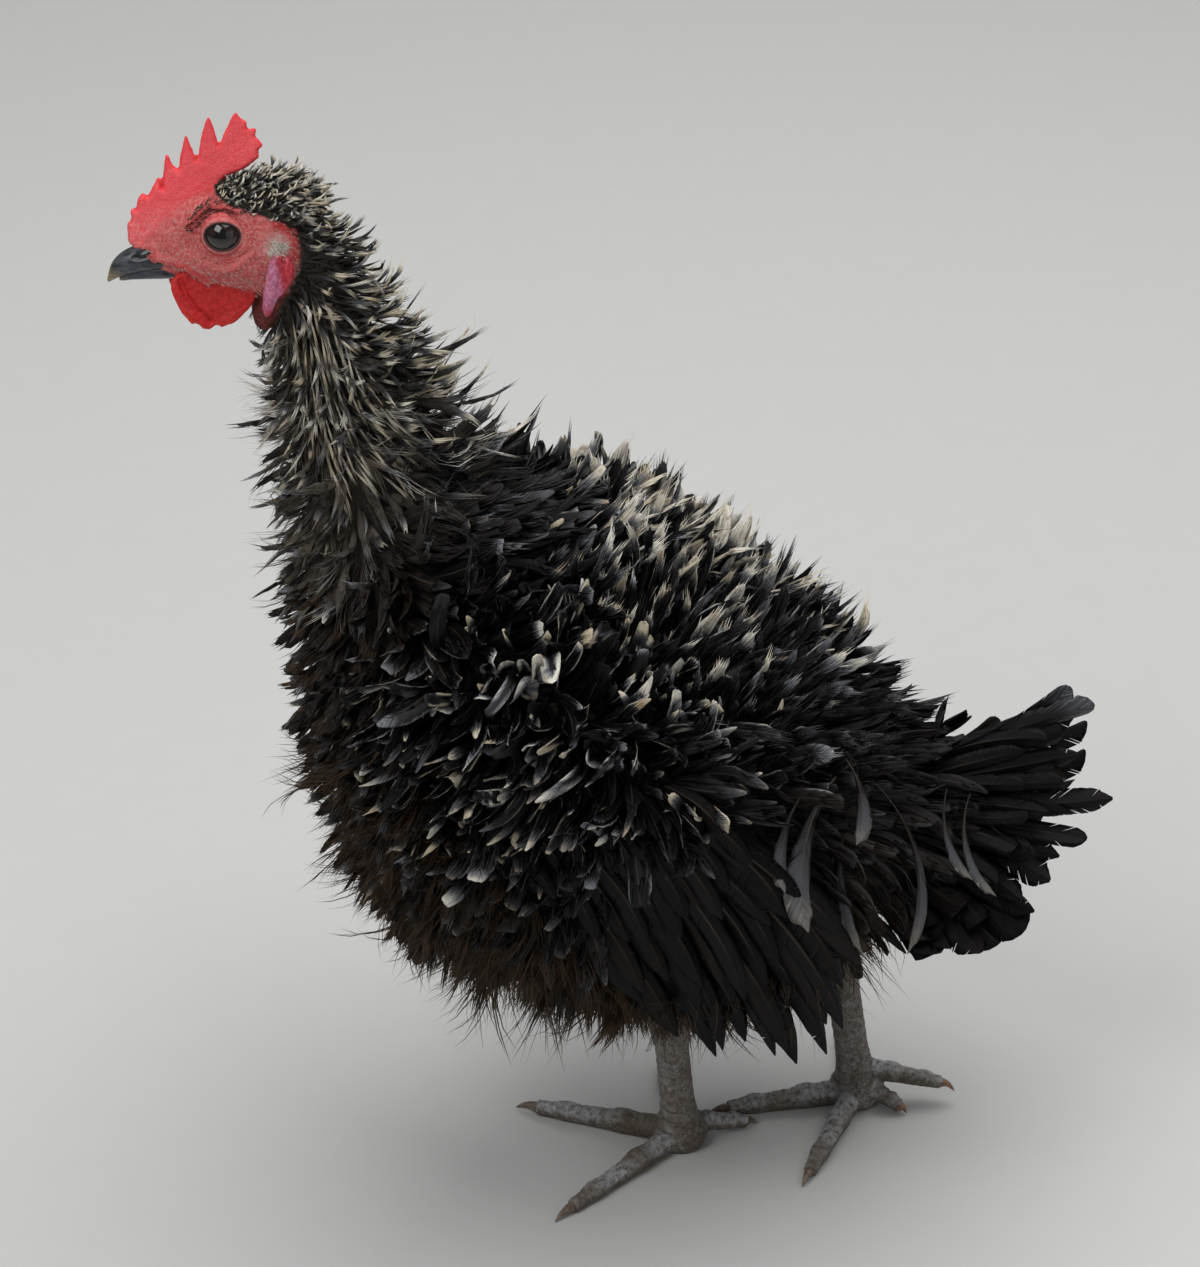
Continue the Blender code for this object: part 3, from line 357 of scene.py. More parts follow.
class Paint:
    """A node material, built with short calls. flesh is the weight and radius of light under the skin."""

    def __init__(self, name, flesh=None, **fixed):
        self.material = bpy.data.materials.new(name)
        self.material.use_nodes = True
        self.tree = self.material.node_tree
        self.shader = self.tree.nodes["Principled BSDF"]
        if flesh:
            fixed.update(Subsurface_Weight=flesh[0], Subsurface_Radius=flesh[1], Subsurface_Scale=FLESH_DEPTH)
        for key, value in fixed.items():
            self.shader.inputs[key.replace("_", " ")].default_value = value

    def add(self, kind, settings=None, **inputs):
        made = self.tree.nodes.new("ShaderNode" + kind)
        for key, value in (settings or {}).items():
            setattr(made, key, value)
        for key, value in inputs.items():
            self.plug(made.inputs[key], value)
        return made

    def plug(self, socket, value):
        if isinstance(value, bpy.types.NodeSocket):
            self.tree.links.new(value, socket)
        elif isinstance(value, tuple) and socket.type == "RGBA":
            socket.default_value = (*value, 1)
        else:
            socket.default_value = value

    def place(self):
        return self.add("NewGeometry").outputs["Position"]

    def noise(self, scale, detail=2.0, rough=0.5, vector=None, stretch=None):
        vector = vector or self.place()
        if stretch:
            vector = self.add("Mapping", Vector=vector, Scale=stretch).outputs[0]
        return self.add("TexNoise", Vector=vector, Scale=scale, Detail=detail, Roughness=rough).outputs[0]

    def cells(self, scale, feature="F1"):
        return self.add("TexVoronoi", {"feature": feature}, Vector=self.place(), Scale=scale).outputs[0]

    def math(self, operation, a, b=0.0):
        made = self.add("Math", {"operation": operation})
        self.plug(made.inputs[0], a)
        self.plug(made.inputs[1], b)
        return made.outputs[0]

    def span(self, value, low, high, to_low=0.0, to_high=1.0):
        """value from low..high to to_low..to_high, clamped and smooth."""
        made = self.add("MapRange", {"interpolation_type": "SMOOTHSTEP"}, Value=value)
        for socket, limit in zip(made.inputs[1:5], (low, high, to_low, to_high)):
            self.plug(socket, limit)
        return made.outputs[0]

    def mix(self, share, a, b):
        made = self.add("Mix", {"data_type": "RGBA", "clamp_factor": True})
        for index, value in ((0, share), (6, a), (7, b)):
            self.plug(made.inputs[index], value)
        return made.outputs[2]

    def ramp(self, value, low, high, first, last):
        """From the first colour to the last as value goes from low to high."""
        return self.mix(self.span(value, low, high), first, last)

    def channels(self, attribute):
        found = self.add("Attribute", {"attribute_name": attribute})
        parts = self.add("SeparateColor", Color=found.outputs["Color"])
        return (*parts.outputs, found.outputs["Alpha"])

    def bump(self, height, distance, strength):
        return self.add("Bump", Height=height, Distance=distance, Strength=strength).outputs[0]

    def finish(self, colour, roughness, normal=None):
        self.plug(self.shader.inputs["Base Color"], colour)
        self.plug(self.shader.inputs["Roughness"], roughness)
        if normal is not None:
            self.plug(self.shader.inputs["Normal"], normal)
        return self.material


def skin_paint():
    """Bare red face skin, and dark skin under the coat with the coat's own markings.

    tone holds the face, the ring round the eye, redness and pale; coat holds the coat's pale and brown.
    """
    p = Paint("skin", (0.12, (1.0, 0.3, 0.2)), Specular_IOR_Level=0.4)
    face, ring, red, pale = p.channels("tone")
    cream, brown, _, _ = p.channels("coat")
    mottle = p.noise(900, 4, 0.65)
    broad = p.noise(220, 2)
    pores = p.cells(1500)
    rose = p.ramp(mottle, 0.35, 0.68, (0.50, 0.055, 0.060), (0.66, 0.20, 0.185))
    rose = p.mix(p.span(broad, 0.4, 0.7, 0.0, 0.5), rose, (0.54, 0.105, 0.105))
    rose = p.mix(red, rose, p.ramp(mottle, 0.3, 0.7, (0.36, 0.008, 0.010), (0.55, 0.035, 0.035)))
    rose = p.mix(pale, rose, p.ramp(mottle, 0.3, 0.7, (0.56, 0.42, 0.38), (0.78, 0.72, 0.66)))
    rose = p.mix(ring, rose, (0.030, 0.014, 0.012))
    under = p.ramp(mottle, 0.3, 0.7, (0.003, 0.003, 0.003), (0.009, 0.008, 0.007))
    under = p.mix(p.math("MULTIPLY", brown, 0.8), under, (0.030, 0.019, 0.011))
    under = p.mix(p.math("MULTIPLY", cream, p.span(mottle, 0.45, 0.6, 0.0, 0.25)), under, (0.20, 0.17, 0.13))
    height = p.math("ADD", p.span(pores, 0.0, 0.6), p.math("MULTIPLY", mottle, 0.8))
    rough = p.math("ADD", p.span(mottle, 0.3, 0.7, 0.5, 0.68), p.span(face, 0.0, 0.5, 0.3, 0.0))
    return p.finish(p.mix(face, under, rose), rough, p.bump(height, 0.00022, 0.55))


def comb_paint():
    """Pebbled red comb: paler and pinker on its blade, deeper at its rim, dusted white near the base."""
    p = Paint("comb", (0.18, (1.0, 0.25, 0.15)), Specular_IOR_Level=0.45)
    rim, base, _, _ = p.channels("tone")
    grain = p.cells(2300)
    mottle = p.noise(2200, 3, 0.6)
    red = p.ramp(grain, 0.1, 0.7, (0.98, 0.155, 0.170), (0.88, 0.070, 0.085))
    red = p.mix(p.span(mottle, 0.55, 0.75, 0, 0.3), red, (0.95, 0.38, 0.37))
    red = p.mix(p.math("MULTIPLY", rim, 0.6), red, (0.88, 0.035, 0.045))
    dust = p.math("MULTIPLY", base, p.span(p.noise(2400, 3, 0.7), 0.45, 0.62, 0.0, 0.7))
    red = p.mix(dust, red, (0.80, 0.42, 0.40))
    height = p.math("SUBTRACT", p.math("MULTIPLY", mottle, 0.5), grain)
    return p.finish(red, p.span(grain, 0, 0.8, 0.45, 0.62), p.bump(height, 0.0002, 0.6))


def wattle_paint():
    """Soft red flap, lighter at its rim, with fine grains."""
    p = Paint("wattle", (0.2, (1.0, 0.2, 0.12)), Specular_IOR_Level=0.42)
    rim, _, _, _ = p.channels("tone")
    mottle = p.noise(700, 4, 0.6)
    grain = p.cells(2100)
    red = p.ramp(mottle, 0.35, 0.7, (0.42, 0.006, 0.006), (0.62, 0.022, 0.018))
    red = p.mix(p.math("MULTIPLY", rim, 0.6), red, (0.72, 0.03, 0.02))
    height = p.math("SUBTRACT", mottle, p.math("MULTIPLY", grain, 0.5))
    return p.finish(red, p.span(mottle, 0.3, 0.7, 0.46, 0.62), p.bump(height, 0.00022, 0.6))


def lobe_paint():
    """Mulberry ear lobe with a red rim behind. tone holds the rim's share."""
    p = Paint("ear_lobe", (0.2, (1.0, 0.3, 0.3)), Specular_IOR_Level=0.5)
    rim, _, _, _ = p.channels("tone")
    mottle = p.noise(800, 4, 0.65)
    violet = p.ramp(mottle, 0.35, 0.68, (0.40, 0.090, 0.18), (0.57, 0.24, 0.35))
    red = p.ramp(mottle, 0.35, 0.68, (0.33, 0.008, 0.020), (0.55, 0.05, 0.07))
    return p.finish(p.mix(rim, violet, red), 0.33, p.bump(mottle, 0.0002, 0.5))


def bill_paint():
    """Slate horn, with painted shade in the nostril's slit and a darker flap over it, yellowish at the tips,
    with fine lines along the bill.
    """
    p = Paint("bill", Specular_IOR_Level=0.55, Coat_Weight=0.25, Coat_Roughness=0.3)
    tip, nostril_shade, cere, _ = p.channels("tone")
    lines = p.noise(420, 4, 0.6, stretch=(0.35, 1.0, 2.4))
    broad = p.noise(260, 2)
    slate = p.ramp(lines, 0.35, 0.7, (0.014, 0.016, 0.021), (0.062, 0.072, 0.088))
    slate = p.mix(p.span(broad, 0.45, 0.7, 0, 0.6), slate, (0.085, 0.090, 0.095))
    horn = p.ramp(lines, 0.3, 0.7, (0.16, 0.125, 0.065), (0.36, 0.30, 0.18))
    colour = p.mix(p.math("MULTIPLY", tip, 0.85), slate, horn)
    colour = p.mix(cere, colour, (0.17, 0.035, 0.035))
    # Painted shade: near-black in the nostril's slit, and the flap over it darkened as well.
    colour = p.mix(nostril_shade, colour, (0.006, 0.005, 0.006))
    return p.finish(colour, p.span(lines, 0.3, 0.7, 0.28, 0.46), p.bump(lines, 0.00012, 0.5))


def eye_paint():
    """A brown-black iris round a black pupil under a wet surface. tone is the way out from the axis."""
    p = Paint("eye", Specular_IOR_Level=0.5, Coat_Weight=0.4, Coat_Roughness=0.02)
    out, _, _, _ = p.channels("tone")
    rays = p.noise(1100, 3, 0.6)
    iris = p.ramp(rays, 0.35, 0.7, (0.008, 0.004, 0.003), (0.036, 0.016, 0.009))
    colour = p.ramp(out, 0.36, 0.46, (0.002, 0.002, 0.002), iris)
    return p.finish(p.ramp(out, 0.72, 0.84, colour, (0.006, 0.004, 0.004)), 0.06)


def leg_paint():
    """Grey, dusty scales with dark seams. tone holds the seams, the dust with a painted top light on the
    toes, the sole and the small scales.
    """
    p = Paint("leg_scales", Specular_IOR_Level=0.4)
    seam, dust, sole, small = p.channels("tone")
    edge = p.math("MULTIPLY", p.span(p.cells(620, "DISTANCE_TO_EDGE"), 0.0, 0.13, 1.0, 0.0), small)
    mottle = p.noise(500, 4, 0.65)
    scale = p.ramp(mottle, 0.35, 0.7, (0.095, 0.080, 0.062), (0.27, 0.245, 0.21))
    scale = p.mix(p.span(p.noise(90, 3), 0.40, 0.60, 0, 0.8), scale, (0.115, 0.084, 0.055))
    # Pale grey from the second share: dust on the shank, and on the toes a painted top light as well.
    scale = p.mix(p.math("MULTIPLY", dust, p.span(mottle, 0.28, 0.62)), scale, (0.43, 0.43, 0.44))
    dark = p.math("MAXIMUM", seam, edge)
    scale = p.mix(p.math("MULTIPLY", dark, 0.55), scale, (0.040, 0.032, 0.025))
    scale = p.mix(p.math("MULTIPLY", sole, 0.6), scale, (0.13, 0.11, 0.08))
    height = p.math("SUBTRACT", p.math("MULTIPLY", mottle, 0.35), dark)
    return p.finish(scale, p.span(mottle, 0.3, 0.7, 0.52, 0.75), p.bump(height, 0.0003, 0.7))


def claw_paint():
    """Brown-grey horn with fine lines. tone holds how orange a claw is."""
    p = Paint("claw", Specular_IOR_Level=0.5, Coat_Weight=0.15, Coat_Roughness=0.35)
    warm, _, _, _ = p.channels("tone")
    lines = p.noise(700, 3, 0.6)
    horn = p.ramp(lines, 0.35, 0.7, (0.060, 0.048, 0.038), (0.21, 0.175, 0.135))
    orange = p.ramp(lines, 0.35, 0.7, (0.16, 0.085, 0.045), (0.34, 0.20, 0.11))
    return p.finish(p.mix(warm, horn, orange), 0.42, p.bump(lines, 0.00015, 0.5))


def plume_paint(name, brown_low=(0.010, 0.006, 0.0035), brown_high=(0.092, 0.056, 0.030), fray=0.9,
                gloss=0.24):
    """Feather: plume holds the pale share, a tint, the brown share and the way along from the root, which
    sets a painted shade near the root.

    The map Vane holds across and along each feather, for the barbs' lines and its frayed pale tip, which goes
    from a painted grey sheen to cream.
    """
    p = Paint(name, Specular_IOR_Level=gloss)
    pale, tint, brown, way = p.channels("plume")
    vane = p.add("UVMap", {"uv_map": "Vane"}).outputs[0]
    across, along, _ = p.add("SeparateXYZ", Vector=vane).outputs
    off = p.math("ABSOLUTE", p.math("SUBTRACT", across, 0.5))
    lean = p.math("SUBTRACT", along, p.math("MULTIPLY", off, 0.45))
    barbs = p.math("SINE", p.math("MULTIPLY", lean, BARBS * FULL))
    lines = p.add("CombineXYZ", X=p.math("MULTIPLY", lean, 90.0), Y=tint, Z=off).outputs[0]
    stripes = p.noise(1.0, 3, 0.7, lines)
    patch = p.noise(240, 3, 0.6)
    black = p.mix(tint, (0.0022, 0.0022, 0.0028), (0.0075, 0.0078, 0.0095))
    black = p.mix(p.span(stripes, 0.47, 0.75, 0.0, 0.4), black, (0.014, 0.014, 0.016))
    warmer = tuple(1.2 * c for c in brown_high)
    brown_part = p.mix(p.span(patch, 0.4, 0.75, 0.0, 0.7), p.mix(tint, brown_low, brown_high), warmer)
    dark = p.mix(brown, black, brown_part)
    cream = p.mix(tint, (0.66, 0.57, 0.41), (0.86, 0.84, 0.76))
    cream = p.mix(p.span(patch, 0.5, 0.72, 0.0, 0.6), cream, (0.36, 0.22, 0.085))
    cream = p.mix(p.span(stripes, 0.52, 0.75, 0.0, 0.55), cream, (0.20, 0.155, 0.10))
    frayed = p.math("ADD", pale, p.math("MULTIPLY", p.math("SUBTRACT", stripes, 0.5), fray))
    # Painted sheen: low pale shares turn a feather's face a bluish grey, brighter with the tint, standing for
    # the sky's reflection.
    bright = p.mix(tint, (0.060, 0.062, 0.070), (0.34, 0.35, 0.38))
    least_painted_sheen = 0.62 if fray > 0.5 else 0.84
    painted_sheen = p.mix(p.span(stripes, 0.25, 0.8, least_painted_sheen, 1.0), (0.022, 0.023, 0.027), bright)
    colour = p.mix(p.span(frayed, 0.14, 0.36, 0.0, 0.85), dark, painted_sheen)
    colour = p.mix(p.span(frayed, 0.38, 0.60), colour, cream)
    shaft = p.math("MULTIPLY", p.span(off, 0.012, 0.03, 1.0, 0.0), p.span(along, 0.5, 0.95, 0.5, 0.0))
    colour = p.mix(shaft, colour, (0.105, 0.080, 0.058))
    # Painted shade: each feather darkens towards its root, where it lies under the others, less where the
    # fourth share is high.
    colour = p.mix(p.span(way, 0.0, 0.45, 0.6, 0.0), colour, (0.003, 0.003, 0.003))
    dry = p.math("MULTIPLY", p.math("MAXIMUM", brown, pale), 0.25)
    rough = p.math("ADD", p.span(patch, 0.3, 0.7, 0.30, 0.44), dry)
    height = p.math("ADD", p.math("MULTIPLY", barbs, 0.4), p.math("MULTIPLY", stripes, 1.6))
    return p.finish(colour, rough, p.bump(height, 0.00008, 0.5))


# The head


def opening_at(angle):
    """Half size of the eye's opening at an angle round it: wider than high, flatter above."""
    high = np.where(np.sin(angle) > 0, EYE_OPENING[1], EYE_OPENING[2])
    return EYE_OPENING[0] * np.cos(angle), high * np.sin(angle)


def eye_reach(x, z):
    """1 on the lids' edge, more outside it."""
    return np.hypot(x / EYE_OPENING[0], z / np.where(z > 0, EYE_OPENING[1], EYE_OPENING[2]))


# The lids' section: angle past the opening's edge, in radians, and height over the eyeball.
LID_SECTION = (
    (0.00, -0.30), (0.00, 0.25), (0.015, 0.52), (0.05, 0.80), (0.10, 0.98), (0.16, 1.06), (0.22, 1.04),
    (0.28, 0.90), (0.33, 0.80), (0.39, 0.86), (0.46, 0.90), (0.54, 0.80), (0.62, 0.60), (0.72, 0.30),
    (0.86, -0.1), (0.86, -2.4), (0.40, -1.8), (0.14, -1.1), (0.03, -0.7),
)


def make_lids(paint):
    """The lids round each eye: a band that lies on the eyeball, rounded at the opening and folded once."""
    angle = np.linspace(0, FULL, LID_SIDES, endpoint=False)
    x, z = opening_at(angle)
    edge = np.hypot(x, z)
    past, high = np.array(LID_SECTION).T
    down = np.arcsin(edge / EYE_R)[:, None] + past
    wrinkle = 0.12 * np.sin(angle * 17 + 2 * np.sin(angle * 3))[:, None] * ease(past, 0.1, 0.5)
    reach = EYE_R + high + wrinkle * (high > 0)
    i, k = np.meshgrid(np.arange(LID_SIDES), np.arange(len(past)), indexing="ij")
    i2, k2 = (i + 1) % LID_SIDES, (k + 1) % len(past)
    faces = np.stack([i * len(past) + k, i * len(past) + k2, i2 * len(past) + k2, i2 * len(past) + k], -1)
    faces = faces.reshape(-1, 4)
    for side, name in ((-1, "lids_left"), (1, "lids_right")):
        points = np.stack([reach * np.sin(down) * (x / edge)[:, None], side * (EYE_Y + reach * np.cos(down)),
                           reach * np.sin(down) * (z / edge)[:, None]], -1).reshape(-1, 3)
        made = piece(name, from_head(points), faces if side < 0 else faces[:, ::-1], paint)
        _, _, red, pale = skin_tone(points).T
        rim = np.tile(1 - ease(past, 0.03, 0.10), LID_SIDES)
        fold = np.tile(ease(past, 0.26, 0.34) * (1 - ease(past, 0.36, 0.5)), LID_SIDES)
        add_colour(made, "tone", np.ones(len(points)), rim, np.maximum(red, 0.5 * fold), pale)


def head_form():
    """The head in its own frame, as one fine surface."""
    skull = closed_rings(loft_grid(HEAD, 0, len(HEAD) - 1, 60, 64))
    return remeshed(skull, HEAD_VOXEL, 2)


# Fineness of the meshes: voxel sizes, then points round each ring and rings along each part.
HEAD_VOXEL, BODY_VOXEL, LEG_VOXEL, COMB_VOXEL, FLAP_VOXEL = 0.40, 1.9, 0.55, 0.5, 0.45
LID_SIDES = 128
BILL_RINGS, BILL_SIDES = 72, 56
EYE_RINGS, EYE_SIDES = 40, 64
BALL_RINGS, BALL_SIDES = 20, 28
LEG_SIDES, CLAW_SIDES = 24, 20
# Random places on the skin that the coat is chosen from.
SAMPLES = 90000
# Half the thickness of the block that a flap is pressed from, and the radius that the eye's colours go to.
FLAP_BLOCK, IRIS_REACH = 5.0, 6.2
# The head is refined ahead of this x and above this z.
FINE_HEAD = (20, -27)
# Centre and radii of the throat, and the lines of the face, in the head's own frame.
THROAT = ((11.6, 0, -26.5), (4.2, 5.0, 8.0))
WATTLE_CREASE = ((-14.5, -16.0), (-12.6, -21.0), (-8.5, -26.5), (-5.0, -29.5))
LOBE_GROOVE = ((20.0, -6.0), (18.6, -12.0), (17.2, -18.0), (15.6, -23.0))
BROW = ((-11.0, 2.4), (-7.5, 6.4), (-3.8, 8.6), (0.5, 8.9), (4.0, 7.4))
GAPE = ((-21.5, -8.9), (-17.0, -9.8), (-13.4, -11.0), (-9.0, -13.4), (-5.5, -16.2))
JAW = ((-12.5, -16.0), (-6.0, -18.6), (1.0, -20.2), (8.0, -20.0), (13.5, -16.5))
EAR = (17.2, -3.6)
RED_RIM = ((17.5, 3.4), (21.0, 1.8), (22.9, -2.0), (23.0, -7.0))
FEATHER_LINE = ((-3.5, 15.8), (-2.6, 12.0), (0.6, 10.2), (4.0, 8.9), (7.0, 8.0), (10.0, 7.0), (14.0, 5.8),
                (19.0, 4.2), (23.6, 1.4), (24.6, -5.0), (23.6, -12.0), (18.5, -22.0), (13.8, -34.0))


def bump_line(x, z, line, width):
    return np.exp(-(line_distance(x, z, line) / width) ** 2)


def bump_spot(x, z, spot, wide, high):
    return np.exp(-((x - spot[0]) / wide) ** 2 - ((z - spot[1]) / high) ** 2)


def face_relief(local):
    """How far the face's skin is raised, in millimetres, by its folds, brow, cheek and ear."""
    x, y, z = local.T
    flank = ease(np.abs(y), 2.0, 6.0)
    folds = 0.75 * bump_line(x, z, BROW, 1.5) + 0.85 * bump_line(x, z, GAPE, 1.15)
    folds += -0.45 * bump_line(x, z, [(a, b - 2.1) for a, b in GAPE], 0.9)
    folds += 0.65 * bump_spot(x, z, (1.5, -11.5), 8.0, 4.2) - 0.7 * bump_spot(x, z, (-11.5, -3.5), 3.6, 3.4)
    folds += -0.35 * bump_line(x, z, ((7.5, -5.5), (4.0, -8.6), (-1.0, -9.6), (-5.5, -8.0)), 0.8)
    folds += 0.35 * bump_line(x, z, ((9.5, -6.0), (5.0, -10.4), (-1.0, -11.8), (-7.0, -10.0)), 0.9)
    folds += 0.9 * bump_line(x, z, RED_RIM, 1.3) - 0.7 * bump_spot(x, z, EAR, 2.6, 2.8)
    folds += 0.4 * bump_line(x, z, JAW, 1.4)
    reach = eye_reach(x, z)
    rings = 0.22 * np.sin(reach * 22.0) * np.exp(-((reach - 1.85) / 0.32) ** 2)
    return (1.6 * folds + rings - 0.5 * np.exp(-((reach - 1.0) / 0.5) ** 2)) * flank


def skin_form():
    """One connected surface: head, neck, body, tail root, wings' arms and shins."""
    body = closed_rings(loft_grid(BODY, 0.0, BODY_END, 90, 64, -SKIN_DEPTH))
    skull = closed_rings(loft_grid(HEAD, 0, len(HEAD) - 1, 24, 32))
    throat = ball_form(*THROAT)
    forms = [body, (from_head(skull[0]), skull[1]), (from_head(throat[0]), throat[1])]
    for side in (-1, 1):
        forms.append(closed_rings(arm_grid(side, 24, 20, -1.0)))
    for leg in LEGS.values():
        forms.append(closed_rings(tube_grid(shin_rows(leg, -1.5), 20)))
    return remeshed(joined(forms), BODY_VOXEL, 4)


def shin_rows(leg, grow=0.0):
    """Places and radii along the shin."""
    hip, knee, hock = (np.array(leg[k], float) for k in ("hip", "knee", "hock"))
    stops = ((hip, SHIN_R), (knee, SHIN_R * 0.95), (knee + (hock - knee) * 0.5, SHIN_R * 0.75),
             (knee + (hock - knee) * 0.85, HOCK_R + 2.2), (hock, HOCK_R + 1.0))
    return [(*place, radius + grow) for place, radius in stops]


def arm_points(side, at, lateral, grow):
    """Points round a wing's arm: at runs along it, and lateral from -1 to 1 over its outer side."""
    v = rows_at(WING_ARM, at)
    along = unit(rows_at(WING_ARM, at + 0.05)[:, :3] - rows_at(WING_ARM, at - 0.05)[:, :3])
    up = unit(np.array(ARM_UP) - along * (along @ np.array(ARM_UP))[:, None])
    out = np.cross(along, up)
    turn = np.asarray(lateral) * math.pi / 2
    high, thick = (v[:, 3] + grow)[:, None], (v[:, 4] + grow)[:, None]
    here = v[:, :3] + up * high * np.sin(turn)[:, None] + out * thick * np.cos(turn)[:, None]
    return here * np.array([1.0, -side, 1.0])


def arm_grid(side, rings, sides, grow):
    ring = np.arange(sides) * 4.0 / sides - 1
    at, lateral = np.meshgrid(np.linspace(0, len(WING_ARM) - 1, rings), ring, indexing="ij")
    return arm_points(side, at.ravel(), lateral.ravel(), grow).reshape(rings, sides, 3)


def refined_skin():
    """The skin's surface with its head subdivided twice."""
    made = temporary(*skin_form())
    work = bmesh.new()
    work.from_mesh(made.data)
    for level in range(2):
        near = []
        for edge in work.edges:
            middle = to_head(np.array([(edge.verts[0].co + edge.verts[1].co) / 2]))[0]
            if middle[0] < FINE_HEAD[0] - 2 * level and middle[2] > FINE_HEAD[1] + 2 * level:
                near.append(edge)
        bmesh.ops.subdivide_edges(work, edges=near, cuts=1, use_grid_fill=True)
    bmesh.ops.triangulate(work, faces=[f for f in work.faces if len(f.verts) > 4])
    work.to_mesh(made.data)
    work.free()
    points, faces = mesh_arrays(made.data)
    bpy.data.objects.remove(made, do_unlink=True)
    return points, faces


def drawn_onto(detail, local, faces, share):
    """Moves points by their share onto the detailed head, and evens them out."""
    tree = BVHTree.FromPolygons([tuple(p) for p in detail[0]], [tuple(int(i) for i in f) for f in detail[1]])
    for i in np.nonzero(share > 0)[0]:
        nearest = np.array(tree.find_nearest(Vector(local[i]))[0])
        local[i] += (nearest - local[i]) * share[i]
    for _ in range(2):
        local = relaxed(local, faces, share * 0.5)
    return local


def face_lift(local, share):
    """How far the head's skin is raised by its folds and its grain, in millimetres."""
    grain = np.zeros(len(local))
    near = share > 0
    grain[near] = 0.22 * lumps(local[near], 1.5, 3) + 0.22 * lumps(local[near] * (0.6, 1, 1.4), 3.2)
    eye = np.hypot(local[:, 0], local[:, 2])
    calm = ease(eye, 6.0, 8.5) + 1 - ease(np.abs(local[:, 1]), 2, 6)
    return share * (face_relief(local) + grain * np.clip(calm, 0.15, 1))


def make_skin(paint):
    """The one skin, with its face's folds and the markings of the coat over it."""
    detail = head_form()
    points, faces = refined_skin()
    local = to_head(points)
    share = ease(-local[:, 0], -21, -15) * ease(local[:, 2], -26, -22)
    local = drawn_onto(detail, local, faces, share)
    points = from_head(local)
    points = points + vertex_normals(points, faces) * face_lift(local, share)[:, None]
    made = piece("skin", points, faces, paint,
                 ("head", "neck", "torso", "tail", "wing_left", "wing_right", "shin_left", "shin_right"))
    add_colour(made, "tone", *skin_tone(to_head(points)).T)
    lie = groomed(roots_at(points, vertex_normals(points, faces)), np.random.default_rng(0), 0)
    add_colour(made, "coat", np.clip(lie["pale"], 0, 1), lie["brown"])
    return made


def relaxed(points, faces, share):
    """Each point moved a share of the way to the middle of its neighbours."""
    total, count = np.zeros_like(points), np.zeros(len(points))
    for a, b in edge_pairs(faces):
        np.add.at(total, a, points[b])
        np.add.at(count, a, 1)
    return points + (total / np.maximum(count, 1)[:, None] - points) * share[:, None]


def edge_pairs(faces):
    quads = np.array([f if len(f) == 4 else (*f[:3], f[2]) for f in faces])
    for k in range(4):
        a, b = quads[:, k], quads[:, (k + 1) % 4]
        keep = a != b
        yield a[keep], b[keep]
        yield b[keep], a[keep]


def line_start(z):
    """Where the feathers start behind the face, at each height on the head."""
    line = np.array(FEATHER_LINE)[::-1]
    return np.interp(z, line[:, 1], line[:, 0])


def bare_share(local):
    """1 on the bare face and throat, 0 where feathers grow."""
    return ease(line_start(local[:, 2]) - local[:, 0], -0.8, 0.8)


def skin_tone(local):
    """Shares for each point of the head: bare, the eye's ring, redness and pale."""
    x, y, z = local.T
    reach = eye_reach(x, z)
    side = ease(np.abs(y), 7.0, 9.0)
    bare = bare_share(local) * (1 - 0.75 * ease(-z, 20.0, 23.0))
    ring = (1 - ease(reach, 1.07, 1.17)) * side
    red = np.clip(bump_line(x, z, RED_RIM, 2.0) + bump_line(x, z, GAPE, 0.9) * 0.8, 0, 1) * side
    red = np.maximum(red, ease(-z, 17.5, 20.5))
    red = np.maximum(red, 0.55 * bump_line(x, z, BROW, 1.2) * side)
    red = np.maximum(red, 0.7 * ease(z, 9.0, 14.0) * ease(-x, -3.0, 1.0))
    pale = (0.9 * bump_spot(x, z, EAR, 3.2, 3.4) + 0.25 * np.exp(-((reach - 1.24) / 0.06) ** 2)) * side
    return np.stack([bare, ring, red, pale], 1)


def flat_form(outline, half, rim, voxel):
    """A flap from an outline: half is its half thickness at a height z, rim the width of its round edge."""
    outline = rounded(outline)
    n = len(outline)
    points = [(x, y, z) for y in (-FLAP_BLOCK, FLAP_BLOCK) for x, z in outline]
    faces = [tuple(range(n)), tuple(range(2 * n - 1, n - 1, -1))]
    faces += [(k, (k + 1) % n, n + (k + 1) % n, n + k) for k in range(n)]
    points, faces = remeshed((points, faces), voxel, 1)
    inside = np.clip(outline_distance(points[:, [0, 2]], outline) / rim, 0, 1)
    bulge = 0.22 + 0.78 * np.sqrt(1 - (1 - inside) ** 2)
    points[:, 1] *= half(points[:, 2]) * bulge / FLAP_BLOCK
    return points, faces, inside


def rounded(outline):
    """Cuts an outline's corners a little, so that they come out round."""
    line = np.asarray(outline, float)
    after = np.roll(line, -1, axis=0)
    return np.stack([line * 0.86 + after * 0.14, line * 0.14 + after * 0.86], 1).reshape(-1, 2)


def make_comb():
    """The comb, thinner towards its points and bent a little along its length."""
    points, faces, inside = flat_form(COMB_OUTLINE, lambda z: 2.3 - 1.5 * ease(z, 6, 34), 1.5, COMB_VOXEL)
    local = points.copy()
    normals = vertex_normals(points, faces)
    points += normals * (0.17 * lumps(local, 0.9) + 0.22 * lumps(local * (1, 1, 0.5), 2.4))[:, None]
    points[:, 1] += 0.9 * np.sin(local[:, 0] * 0.21) * ease(local[:, 2], 8, 34)
    made = piece("comb_red", from_head(points), faces, comb_paint(), ("comb",))
    base = 1 - ease(local[:, 2] - 0.28 * (local[:, 0] + 10), 3.0, 14.0)
    add_colour(made, "tone", 1 - ease(inside, 0.2, 1.0), base)


